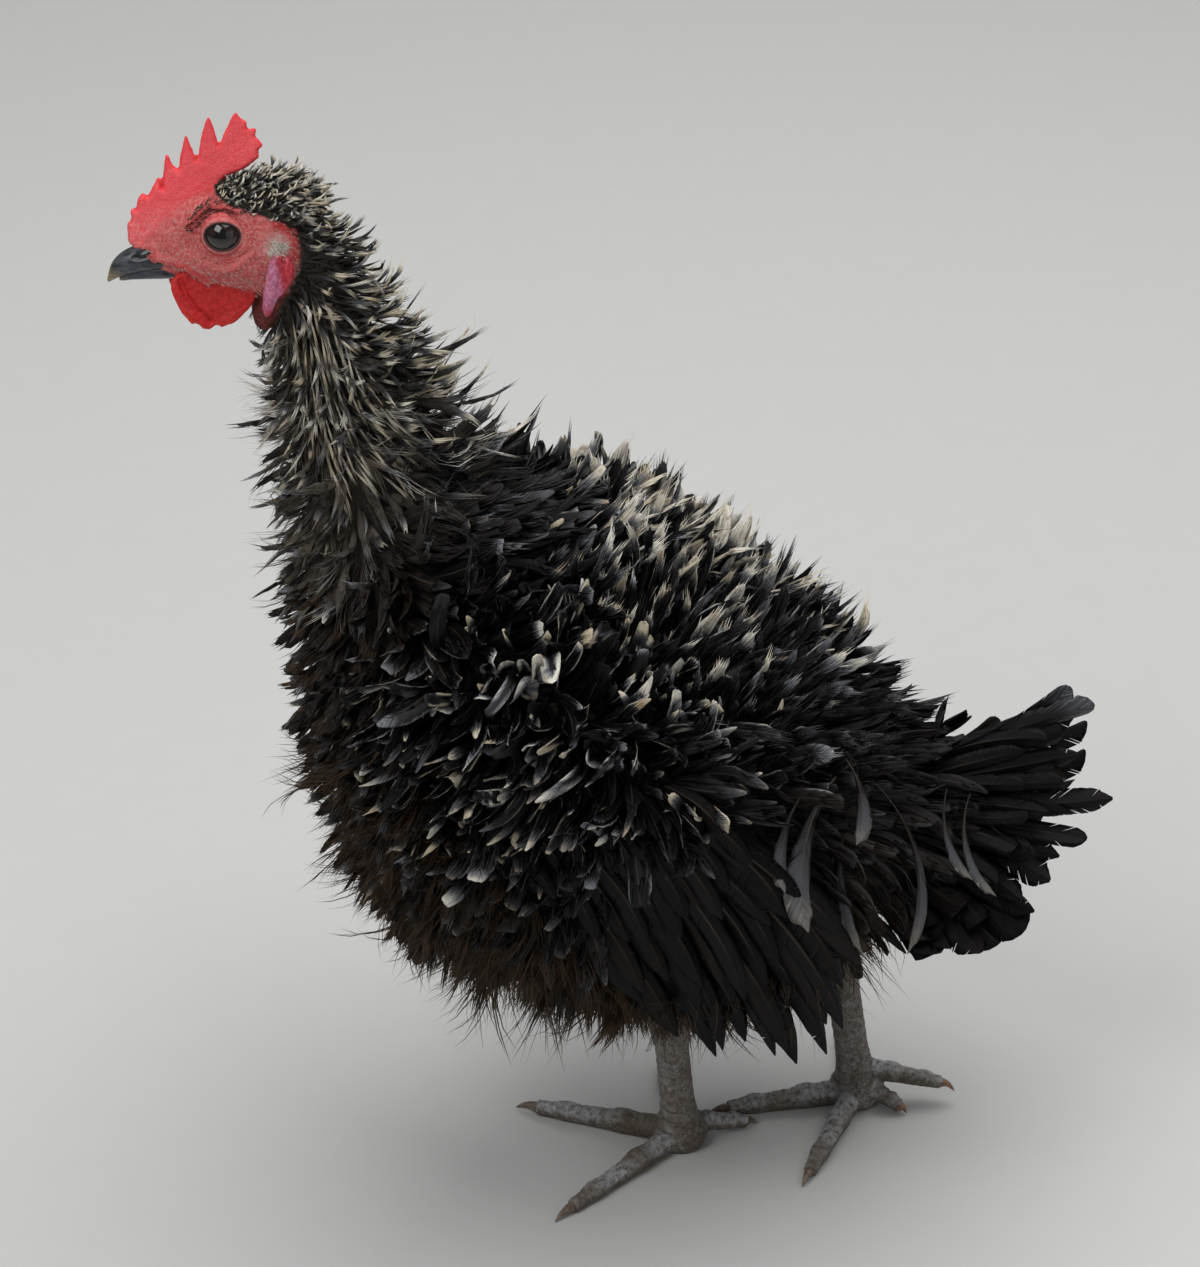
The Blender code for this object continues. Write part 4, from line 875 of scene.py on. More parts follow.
def make_flaps():
    """The wattles, creased along their front, and the ear lobes, grooved and rimmed behind."""
    paints = {"red_skin": wattle_paint(), "lobe_skin": lobe_paint()}
    for name, side, outline, slot, out, lean in FLAPS:
        wattle = slot == "red_skin"
        points, faces, inside = flat_form(outline, lambda z: 1.6, 1.7 if wattle else 2.2, FLAP_VOXEL)
        local = points.copy()
        x, _, z = local.T
        if wattle:
            crease = bump_line(x, z, WATTLE_CREASE, 0.9)
            points[:, 1] *= 1 - 0.5 * crease
            points[:, 1] += side * (0.5 * np.sin(x * 0.45) * ease(-z, 20, 31) - 0.5 * crease)
            rim = 1 - ease(inside, 0.3, 1.0)
        else:
            points[:, 1] *= 1 - 0.55 * bump_line(x, z, LOBE_GROOVE, 0.8)
            points[:, 1] += side * 0.5 * ease(x + 0.25 * z, 14.0, 17.5)
            rim = np.maximum(ease(x + 0.25 * z, 13.2, 16.6), ease(-z, 21.5, 26.0))
        points[:, 1] += side * out - side * lean * (z - outline[0][1])
        normals = vertex_normals(points, faces)
        points += normals * (0.10 * lumps(local, 1.0) + 0.2 * lumps(local, 3.2))[:, None]
        made = piece(f"{name}_skin", from_head(points), faces, paints[slot], (name,))
        add_colour(made, "tone", rim)


def nostril_shape(x, z):
    """The flap over the nostril and the slit under it, at places on the bill."""
    p = (x - NOSTRIL[0]) * math.cos(NOSTRIL_TURN) - (z - NOSTRIL[1]) * math.sin(NOSTRIL_TURN)
    q = (x - NOSTRIL[0]) * math.sin(NOSTRIL_TURN) + (z - NOSTRIL[1]) * math.cos(NOSTRIL_TURN)
    reach = np.hypot(p / NOSTRIL_HALF[0], q / NOSTRIL_HALF[1])
    slit = np.exp(-((reach - 1.0) / 0.24) ** 2) * ease(-q, -0.9, 0.3)
    return 1 - ease(reach, 0.6, 1.0), slit


def make_bill():
    """Both halves of the bill, flat where they meet, with the upper one's ridge and nostrils."""
    paint = bill_paint()
    for name, rows in (("bill_upper", UPPER_BILL), ("bill_lower", LOWER_BILL)):
        upper = name == "bill_upper"
        s, turn = ring_grid(np.linspace(0, len(rows) - 1, BILL_RINGS), BILL_SIDES)
        points = loft_points(rows, s, turn)
        flat = np.clip(-np.cos(turn) if upper else np.cos(turn), 0, 0.97) ** 2
        points[:, 1] *= np.sqrt(1 + flat + flat**2 + flat**3)
        if upper:
            points[:, 2] += 0.5 * np.exp(-(np.sin(turn / 2) / 0.22) ** 2) * (1 - ease(s, 4.2, 5.0))
        else:
            points[:, 2] += 0.42 + 1.1 * np.clip(np.cos(turn), 0, 1)
        x, y, z = points.T
        flap, slit = nostril_shape(x, z)
        flank = ease(np.abs(y), 1.5, 2.5) * upper
        points[:, 1] += np.sign(y) * flank * (0.9 * flap - 1.0 * slit)
        form = closed_rings(points.reshape(BILL_RINGS, BILL_SIDES, 3))
        made = piece(f"{name}_horn", from_head(form[0]), form[1], paint, (name,))
        if upper:
            tip = np.maximum(ease(-x, 31.5, 36.5) * ease(-z, 12.5, 16.0), ease(-x, 36.0, 38.5))
        else:
            tip = 0.6 * ease(-x, 31.0, 35.0)
        cere = (1 - ease(-x, 19.0, 22.5)) * ease(z, -12.5, -9.0)
        # The second share is the nostril's painted shade, strongest in its slit.
        add_colour(made, "tone", tip, np.clip(slit * 1.4 + 0.85 * flap, 0, 1) * flank, cere)


def make_eyes():
    """Eyeballs with a cornea that bulges a little."""
    paint = eye_paint()
    for side, name in ((-1, "eye_left"), (1, "eye_right")):
        down, turn = ring_grid(np.linspace(0.02, math.pi - 0.02, EYE_RINGS), EYE_SIDES)
        bulge = 1 + 0.045 * np.exp(-(down / 0.62) ** 2)
        points = np.stack([np.sin(down) * np.cos(turn), side * np.cos(down) * bulge,
                           np.sin(down) * np.sin(turn)], 1)
        points = points * EYE_R + np.array([0, side * EYE_Y, 0])
        form = closed_rings(points.reshape(EYE_RINGS, EYE_SIDES, 3))
        made = piece(f"{name}_ball", from_head(form[0]), form[1], paint, (name,))
        add_colour(made, "tone", np.clip(np.sin(down) * EYE_R / IRIS_REACH, 0, 1))


# Legs


SCUTE, TOE_SCUTE = 4.4, 3.1


def shank_rows(leg):
    """The bare shank, begun inside the shin's feathers and ended in the foot."""
    knee, hock = np.array(leg["knee"], float), np.array(leg["hock"], float)
    bottom = np.array((*leg["foot"], ANKLE_Z - 6))
    rows = [(*(hock + (knee - hock) * 0.35), HOCK_R - 1.5), (*(hock + (knee - hock) * 0.15), HOCK_R - 0.3)]
    for share in np.linspace(0, 1, 14):
        radius = SHANK_R + (HOCK_R - SHANK_R) * max(0, 1 - share * 3.2) + 6.4 * max(0, share - 0.75)
        rows.append((*(hock + (bottom - hock) * share), radius))
    return rows


def toe_rows(centre, tip, radius):
    rows = []
    start, end = np.array((*centre, tip[2]), float), np.array((tip[0], tip[1], tip[3]), float)
    for at in np.linspace(0, len(TOE_SWELL) - 1, 21):
        more = np.interp(at, range(len(TOE_SWELL)), TOE_SWELL)
        more += 0.05 * math.cos(FULL * at)
        share = at / (len(TOE_SWELL) - 1) * 0.86
        here = start + (end - start) * share
        thick = radius * more * (1 - 0.28 * share)
        rows.append((here[0], here[1], here[2] + thick * 0.9, thick))
    return rows


def ball_form(centre, radii):
    down, turn = ring_grid(np.linspace(0.05, math.pi - 0.05, BALL_RINGS), BALL_SIDES)
    ball = np.stack([np.sin(down) * np.cos(turn), np.sin(down) * np.sin(turn), np.cos(down)], -1)
    ball = ball.reshape(BALL_RINGS, BALL_SIDES, 3)
    return closed_rings(ball * np.array(radii) + np.array(centre))


def bone_places(points, rows):
    """For each point by a line of rows: distance over radius, the way along, and the outward direction."""
    line = np.asarray(rows, float)
    a, b = line[:-1, :3], line[1:, :3]
    d = b - a
    t = np.clip(((points[:, None] - a) * d).sum(-1) / (d * d).sum(-1), 0, 1)
    gap = points[:, None] - (a + d * t[..., None])
    far = np.linalg.norm(gap, axis=-1)
    best = far.argmin(1)
    pick = np.arange(len(points))
    lengths = np.concatenate([[0], np.cumsum(np.linalg.norm(d, axis=1))])
    along = lengths[best] + np.linalg.norm(d, axis=1)[best] * t[pick, best]
    radius = line[best, 3] + (line[best + 1, 3] - line[best, 3]) * t[pick, best]
    return far[pick, best] / radius, along, unit(gap[pick, best])


def scute_cover(points, bones, inward):
    """Scutes on the shank's front and on top of the toes: height, seams, where they are, and the shank."""
    places = [bone_places(points, rows) for rows in bones]
    owner = np.stack([p[0] for p in places]).argmin(0)
    pick = np.arange(len(points))
    along = np.stack([p[1] for p in places])[owner, pick]
    out = np.stack([p[2] for p in places])[owner, pick]
    shank = owner == 0
    ahead = np.where(shank, -out[:, 0] * 0.95 - out[:, 1] * 0.2 * inward, out[:, 2])
    sideways = np.where(shank, out[:, 1], np.hypot(out[:, 0], out[:, 1]))
    front = ease(ahead, 0.15, 0.5)
    half_row = np.where(shank & (sideways > 0), 0.5, 0.0)
    shank_h, shank_s = scute_relief(along + half_row * SCUTE, 1.5 * (np.abs(sideways) - 0.45), SCUTE)
    toe_h, toe_s = scute_relief(along, sideways, TOE_SCUTE)
    middle = np.exp(-(sideways / 0.07) ** 2) * shank
    height = np.where(shank, shank_h, 0.6 * toe_h) * front - 0.25 * middle * front
    seam = np.clip(np.where(shank, shank_s, 0.6 * toe_s) + middle, 0, 1) * front
    return height, seam, front, shank


def scute_relief(along, across, period):
    """Plates that overlap towards the foot: their height, and the dark seam under each edge."""
    part = along / period + 0.10 * across**2
    part = part - np.floor(part)
    height = 0.42 * part**0.8 - 0.3 * np.exp(-(part / 0.10) ** 2)
    seam = np.exp(-(part / 0.09) ** 2) + np.exp(-((1 - part) / 0.05) ** 2)
    return height, np.clip(seam, 0, 1)


def make_leg(side, leg, paint, horn):
    """Shank, foot and toes as one scaled skin, with its claws."""
    foot = leg["foot"]
    bones = [shank_rows(leg)] + [toe_rows(foot, tip, TOE_R[kind]) for kind, tip in leg["toes"].items()]
    forms = [closed_rings(tube_grid(rows, LEG_SIDES)) for rows in bones]
    forms.append(ball_form((*foot, FOOT_H * 0.62), (FOOT_R * 0.94, FOOT_R * 0.94, FOOT_H)))
    points, faces = remeshed(joined(forms), LEG_VOXEL, 4)
    normals = vertex_normals(points, faces)
    height, seam, front, shank = scute_cover(points, bones, 1 if side == "left" else -0.4)
    ankle = np.exp(-((points[:, 2] - ANKLE_Z - 1) / 7.0) ** 2) * shank
    grains = 0.20 * lumps(points, 1.5) * (1 - front) + 0.10 * lumps(points, 3.5)
    grains = grains + 0.25 * lumps(points, 2.2) * ankle
    above = ease(points[:, 2], 0.4, 2.0)
    points = points + normals * ((height + grains) * above)[:, None]
    points[:, 2] = np.maximum(points[:, 2], 0.0)
    nodes = [f"shank_{side}"] + [f"toe_{side}_{kind}" for kind in leg["toes"]]
    made = piece(f"leg_{side}", points, faces, paint, nodes)
    # Painted top light with patchy dust: the toes' upper sides turn pale grey, their sides and undersides
    # stay dark.
    top_light = ease(normals[:, 2], -0.2, 0.6)
    dust = ease(lumps(points, 14.0), -0.7, 0.3) * np.where(shank, 0.3, 0.1 + 0.9 * top_light)
    add_colour(made, "tone", seam, dust, 1 - ease(points[:, 2], 0.5, 2.5), 1 - 0.75 * front)
    for rows, (kind, tip) in zip(bones[1:], leg["toes"].items()):
        make_claw(side, kind, rows, tip, horn)


def make_claw(side, kind, rows, tip, paint):
    """A curved, tapered claw that grows from a toe's end and comes down to the floor."""
    x, y, z, r = rows[-1]
    start = np.array((x, y, z))
    along = unit(start - np.array(rows[-3][:3]))
    end = np.array((tip[0], tip[1], max(tip[3] - 1.0, 0.5)))
    line = [(*(start - along * 2.5), r * 0.7)]
    for share in np.linspace(0, 0.97, 16):
        here = start + (end - start) * share
        here[2] += math.sin(share * math.pi) * 1.1
        line.append((*here, r * 0.74 * (1 - share) ** 0.75))
    points, faces = closed_rings(tube_grid(line, CLAW_SIDES))
    points[:, 2] = np.maximum(points[:, 2], 0.0)
    made = piece(f"claw_{side}_{kind}_horn", points, faces, paint, (f"claw_{side}_{kind}",))
    warm = 1.0 if side == "right" and kind in ("hind", "extra") else 0.25
    add_colour(made, "tone", np.full(len(points), warm))


# Feathers


class Template:
    """One feather laid flat: across and along in millimetres of its nominal size, with a height."""

    def __init__(self, length, width):
        self.length, self.half = length, width / 2
        self.points, self.faces = [], []

    def ribbon(self, left, right, high, tip, under):
        """A closed strip between two edges that ends in a point: five columns above and one below, or two."""
        columns = (0, 0.14, 0.5, 0.86, 1) if under else (0, 0.5, 1)
        rise = (0, 0.55, 1, 0.55, 0) if under else (0, 1, 0)
        base, wide, n = len(self.points), len(columns), len(left)
        per = wide + under
        for a, b, h in zip(left, right, high):
            for c, up in zip(columns, rise):
                self.points.append((a[0] + (b[0] - a[0]) * c, a[1] + (b[1] - a[1]) * c, h * up))
            if under:
                self.points.append(((a[0] + b[0]) / 2, (a[1] + b[1]) / 2, -0.5 * h))
        self.points.append((*tip, 0.0))
        loop = list(range(per)) + [0]
        for i in range(n - 1):
            a = base + i * per
            for k, m in zip(loop, loop[1:]):
                self.quad(a + k, a + m, a + per + m, a + per + k)
        a, end = base + (n - 1) * per, base + n * per
        self.faces += [(a + k, a + m, end) for k, m in zip(loop, loop[1:])]
        self.faces += [(base, base + k + 1, base + k) for k in range(1, per - 1)]

    def quad(self, a, b, c, d):
        self.faces += [(a, b, c), (a, c, d)]

    def strand(self, start, end, bend, width, steps, high=0.6):
        """One loose barb or hair: a thin curved sliver."""
        start, end = np.array(start, float), np.array(end, float)
        way = end - start
        side = np.array([way[1], -way[0]]) / max(np.linalg.norm(way), 1e-6)
        t = np.linspace(0, 1, steps + 1)
        line = start + way * t[:, None] + side * (bend * np.sin(math.pi * t * 0.75))[:, None]
        heading = unit(np.gradient(line, axis=0))
        across = np.stack([heading[:, 1], -heading[:, 0]], 1)
        halves = width / 2 * (1 - t**1.6 * 0.85)
        left = (line - across * halves[:, None])[:-1]
        right = (line + across * halves[:, None])[:-1]
        self.ribbon(left, right, np.full(steps, high * width), line[-1], False)

    def done(self):
        points = np.array(self.points, float)
        self.across = points[:, 0] / self.half
        self.along = points[:, 1] / self.length
        self.high = points[:, 2]
        self.faces = np.array(self.faces, int)
        return self


# Outlines of feathers: share of the length, share of the half width.
ROUND_VANE = ((0, 0.10), (0.1, 0.30), (0.3, 0.75), (0.55, 1.0), (0.75, 0.96), (0.86, 0.78), (0.93, 0.55),
              (1, 0.2))
POINTED_VANE = ((0, 0.12), (0.12, 0.42), (0.35, 0.92), (0.55, 1.0), (0.75, 0.72), (0.9, 0.38), (1, 0.12))
VANE_THICK = 0.2
NARROW_VANE = ((0, 0.20), (0.2, 0.55), (0.45, 0.95), (0.65, 1.0), (0.8, 0.82), (0.9, 0.5), (1, 0.15))


def vane(rng, length, width, shape, rings, notch, slant, end, loose, brush):
    """A contour feather: a ridged vane with notched edges, loose barbs, and a frayed brush at its tip."""
    made = Template(length, width)
    v = end * (1 - (1 - np.arange(rings) / rings) ** 1.7)
    w = np.interp(v / end, *zip(*shape)) * width / 2
    edges = []
    for side in (-1, 1):
        cut = 1 - notch * rng.random(rings) * (rng.random(rings) < 0.55)
        half = w * cut
        forward = np.minimum(v * length + slant * half * ease(v, 0, 0.2), length * (end - 0.01))
        edges.append(np.stack([side * half, forward], 1))
    made.ribbon(edges[0], edges[1], VANE_THICK * (1.15 - v / end), (0.0, length * end), True)
    for k in range(loose):
        side = -1 if k % 2 else 1
        at = rng.uniform(0.12, end - 0.08)
        half = np.interp(at / end, *zip(*shape)) * width / 2
        start = (side * half * 0.35, at * length)
        reach = rng.uniform(0.75, 1.2) * half
        finish = (side * reach, min(at * length + reach * rng.uniform(1.0, 1.8), length * 1.02))
        made.strand(start, finish, side * rng.uniform(-0.1, 0.25) * reach, rng.uniform(0.35, 0.8), 2)
    for k in range(brush):
        share = (k + 0.5) / brush * 2 - 1
        half = width / 2 * 0.8
        start = (share * half * 0.7, length * end * rng.uniform(0.62, 0.78))
        out = share * half * rng.uniform(0.55, 1.05)
        finish = (out, length * rng.uniform(0.84, 1.0) * (1 - 0.09 * abs(share)))
        made.strand(start, finish, rng.uniform(-0.7, 0.7), min(width / brush, 1.1) * rng.uniform(0.7, 1.3), 2)
    return made.done()


def tuft(rng, length, width, strands, thin, steps):
    """Down or fluff: hair-like barbs that fan out from one root."""
    made = Template(length, width)
    for k in range(strands):
        share = (k + rng.uniform(0.2, 0.8)) / strands * 2 - 1
        root = (share * width * 0.10, length * rng.uniform(0.0, 0.35))
        tip = (share * width / 2 * rng.uniform(0.6, 1.1), length * rng.uniform(0.6, 1.0))
        made.strand(root, tip, rng.uniform(-0.12, 0.12) * length, thin * rng.uniform(0.7, 1.5), steps, 0.5)
    return made.done()


def pin(rng, length, width, barbs):
    """A young feather still in its sheath: a stiff spike that opens into a small brush."""
    made = Template(length, width)
    made.strand((0, 0), (0, length * 0.9), rng.uniform(-0.4, 0.4), width * 0.62, 4, 0.45)
    for k in range(barbs):
        share = (k + 0.5) / barbs * 2 - 1
        start = (share * width * 0.12, length * rng.uniform(0.35, 0.6))
        tip = (share * width * 0.5 * rng.uniform(0.6, 1.3), length * rng.uniform(0.85, 1.0))
        made.strand(start, tip, rng.uniform(-0.2, 0.2), width * 0.3, 2, 0.5)
    return made.done()


def turned(start, finish, share):
    """Directions between two, evenly by angle."""
    dot = np.clip((start * finish).sum(1), -1, 1)
    angle = np.arccos(dot)[:, None, None]
    sine = np.maximum(np.sin(angle), 1e-3)
    share = share[None, :, None]
    a = np.sin((1 - share) * angle) / sine
    b = np.sin(share * angle) / sine
    return unit(start[:, None] * a + finish[:, None] * b)


def bent(shape, own):
    """One template's points at each of its roots, bent along the way and turned about it."""
    ways = turned(own.start, own.finish, (np.arange(STEPS) + 0.5) / STEPS)
    runs = np.cumsum(ways * (own.length / STEPS)[:, None, None], 1)
    line = own.place[:, None] + np.concatenate([np.zeros((len(runs), 1, 3)), runs], 1)
    along = np.clip(shape.along, 0, 1) * STEPS
    i = np.minimum(along.astype(int), STEPS - 1)
    f = (along - i)[None, :, None]
    centre = line[:, i] * (1 - f) + line[:, i + 1] * f
    j = np.clip(np.round(along).astype(int), 0, STEPS - 1)
    heading = unit(ways[:, i] * (1 - f) + ways[:, j] * f)
    across = unit(np.cross(own.start, own.facing))[:, None]
    across = unit(across - heading * (heading * across).sum(-1, keepdims=True))
    above = np.cross(across, heading)
    angle = (own.twist[:, None] * shape.along[None, :])[..., None]
    across, above = (across * np.cos(angle) + above * np.sin(angle),
                     above * np.cos(angle) - across * np.sin(angle))
    half = (own.width / 2)[:, None, None]
    x = shape.across[None, :, None]
    bend = np.abs(x) ** 1.5 * own.cup[:, None, None]
    swing = (own.sway[:, None] * np.sin(shape.along * math.pi * 0.9)[None, :])[..., None]
    found = centre + across * (x * half * (1 - 0.25 * np.abs(bend)) + swing)
    found = found + above * (shape.high[None, :, None] - bend * half)
    found[..., 2] = np.maximum(found[..., 2], LOWEST)
    return found


# Steps along a feather's curve, and the least height of its points over the floor.
STEPS = 14
LOWEST = 0.4
# The size of a feather's patch on the bake map.
PATCH = 0.003
# How a feather looks unless its coat says otherwise.
PLAIN_LOOK = {"pale": 0.0, "brown": 0.0, "edge": 0.0, "begin": 0.55, "cup": 0.3, "twist": 0.0, "sway": 0.0,
              "lit": 0.0}


class Coat:
    """Feathers of one region, joined into one mesh."""

    def __init__(self, name, slot, paint, seed):
        self.name, self.slot, self.paint = name, slot, paint
        self.rng = np.random.default_rng(seed)
        self.points, self.faces, self.vanes, self.patches, self.plumes = [], [], [], [], []
        self.count, self.feathers = 0, 0

    def grow(self, templates, roots, start, finish, length, width, sink=0.0, tint=None, **look):
        """Grows a feather at each root, curved from start to finish, with its upper side outward."""
        n = len(roots.place)
        values = {**PLAIN_LOOK, **look, "length": length, "width": width}
        values["tint"] = self.rng.random(n) if tint is None else tint
        values = {key: np.broadcast_to(np.asarray(value, float), (n,)) for key, value in values.items()}
        values.update(place=roots.place - roots.normal * sink, facing=unit(roots.normal), spot=roots.spot,
                      start=unit(start), finish=unit(finish))
        choice = self.rng.integers(0, len(templates), n)
        self.feathers += n
        for number, shape in enumerate(templates):
            own = choice == number
            if own.any():
                chosen = {key: value[own] for key, value in values.items()}
                self.add_feathers(shape, SimpleNamespace(**chosen))

    def add_feathers(self, shape, own):
        """Adds one template's feathers: their points and faces, both maps and the colours of each point."""
        m, k = len(own.place), len(shape.along)
        self.points.append(bent(shape, own).reshape(-1, 3))
        self.faces.append((shape.faces[None] + (np.arange(m) * k)[:, None, None]).reshape(-1, 3) + self.count)
        self.count += m * k
        flat = np.stack([0.5 + 0.5 * np.clip(shape.across, -1.2, 1.2) / 1.2, np.clip(shape.along, 0, 1)], 1)
        self.vanes.append(np.broadcast_to(flat, (m, k, 2)).reshape(-1, 2))
        self.patches.append((own.spot[:, None] + ((flat - 0.5) * PATCH)[None]).reshape(-1, 2))
        tip = ease(shape.along[None], own.begin[:, None], 1.0) * own.pale[:, None]
        rim = ease(np.abs(shape.across)[None], 0.66, 0.95) * ease(shape.along[None], 0.3, 0.7)
        rim = rim * own.edge[:, None]
        ones = np.ones((m, k))
        # The fourth share sets the painted shade at the root: it follows the way along the feather, raised to
        # at least lit.
        lit = np.maximum(ones * shape.along[None], own.lit[:, None])
        shares = (np.maximum(tip, rim), ones * own.tint[:, None], ones * own.brown[:, None], lit)
        self.plumes.append(np.stack(shares, -1).reshape(-1, 4))

    def finish(self):
        """Joins the feathers into one mesh with its two maps and its colours."""
        points, faces = np.concatenate(self.points) * MM, np.concatenate(self.faces)
        mesh = bpy.data.meshes.new(self.name)
        mesh.vertices.add(len(points))
        mesh.vertices.foreach_set("co", points.astype(np.float32).ravel())
        mesh.loops.add(faces.size)
        mesh.loops.foreach_set("vertex_index", faces.astype(np.int32).ravel())
        mesh.polygons.add(len(faces))
        mesh.polygons.foreach_set("loop_start", np.arange(0, faces.size, 3, dtype=np.int32))
        mesh.polygons.foreach_set("use_smooth", np.ones(len(faces), bool))
        mesh.update(calc_edges=True)
        for name, values in (("OFBake", self.patches), ("Vane", self.vanes)):
            layer = mesh.uv_layers.new(name=name)
            layer.data.foreach_set("uv", np.concatenate(values)[faces.ravel()].astype(np.float32).ravel())
        mesh.materials.append(self.paint)
        made = placed(self.name, mesh)
        add_colour(made, "plume", *np.concatenate(self.plumes).T)
        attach(made, "root")
        print(f"{self.name}: {self.feathers} feathers, {len(faces)} triangles")


class Roots:
    """Places for feathers on the skin, with where each lies on the body (s, turn) and on the head (local)."""

    def __init__(self, place, normal, s, turn):
        self.place, self.normal, self.s, self.turn = place, normal, s, turn
        self.local = to_head(place)
        self.round = np.degrees(np.abs(turn))
        self.spot = np.stack([0.03 + 0.94 * (turn / FULL + 0.5),
                              0.03 + 0.94 * (s + 1.6) / (BODY_END + 1.8)], 1)

    def only(self, mask):
        return Roots(self.place[mask], self.normal[mask], self.s[mask], self.turn[mask])

    def spread(self, mask, spacing, rng):
        """A subset of the masked places, none nearer another than its spacing."""
        index = np.nonzero(mask)[0]
        if not len(index):
            return self.only(index)
        index = index[rng.permutation(len(index))]
        spacing = np.broadcast_to(spacing, (len(mask),))
        cell, grid, kept = float(spacing[index].max()), {}, []
        keys = np.floor(self.place / cell).astype(int)
        for i in index:
            x, y, z = keys[i]
            here, gap = self.place[i], spacing[i] ** 2
            near = (p for dx in (-1, 0, 1) for dy in (-1, 0, 1) for dz in (-1, 0, 1)
                    for p in grid.get((x + dx, y + dy, z + dz), ()))
            if all((p[0] - here[0]) ** 2 + (p[1] - here[1]) ** 2 + (p[2] - here[2]) ** 2 > gap for p in near):
                grid.setdefault((x, y, z), []).append(here)
                kept.append(i)
        return self.only(np.array(kept, int))


def roots_at(place, normal):
    """Roots with their places on the body worked out."""
    return Roots(place, normal, *body_places(place))


def body_places(points):
    """The nearest place on the body for each point: s and turn. In front of the nape, s is negative."""
    round_it = np.linspace(-math.pi, math.pi, 73)[:-1]
    s, turn = np.meshgrid(np.linspace(0, BODY_END, 105), round_it, indexing="ij")
    s, turn = s.ravel(), turn.ravel()
    tree = KDTree(len(s))
    for i, place in enumerate(loft_points(BODY, s, turn, -SKIN_DEPTH)):
        tree.insert(place, i)
    tree.balance()
    near = np.array([tree.find(place)[1] for place in points])
    s, turn, local = s[near], turn[near], to_head(points)
    skull = (local[:, 0] < 27) & (local[:, 2] > -24 + 0.5 * local[:, 0]) & (s < 0.35)
    s[skull] = -np.clip((26 - local[skull, 0]) / 17, 0, 1.5)
    turn[skull] = np.arctan2(local[skull, 1] * 1.3, local[skull, 2] + 4)
    return s, turn


def scattered(skin, rng, count):
    """Random places over the skin, even by area."""
    points, faces = mesh_arrays(skin.data)
    points = points / MM
    normals = vertex_normals(points, faces)
    triangles = np.array([t for f in faces for t in ([f] if len(f) == 3 else [f[:3], (f[0], *f[2:])])])
    a, b, c = (points[triangles[:, k]] for k in range(3))
    area = np.linalg.norm(np.cross(b - a, c - a), axis=1)
    pick = rng.choice(len(triangles), count, p=area / area.sum())
    u, v = rng.random(count), rng.random(count)
    over = u + v > 1
    u[over], v[over] = 1 - u[over], 1 - v[over]
    weights = np.stack([1 - u - v, u, v], 1)
    chosen = triangles[pick]
    place = (points[chosen] * weights[..., None]).sum(1)
    normal = unit((normals[chosen] * weights[..., None]).sum(1))
    roots = roots_at(place, normal)
    body = loft_points(BODY, roots.s, roots.turn, -SKIN_DEPTH)
    off = np.linalg.norm(place - body, axis=1)
    shins = [bone_places(place, shin_rows(leg))[0] for leg in LEGS.values()]
    roots.shin = (np.minimum(*shins) < 1.15) & (off > 2.5) & (place[:, 2] < 92)
    roots.firm = groomed(roots, rng)["firm"]
    return roots


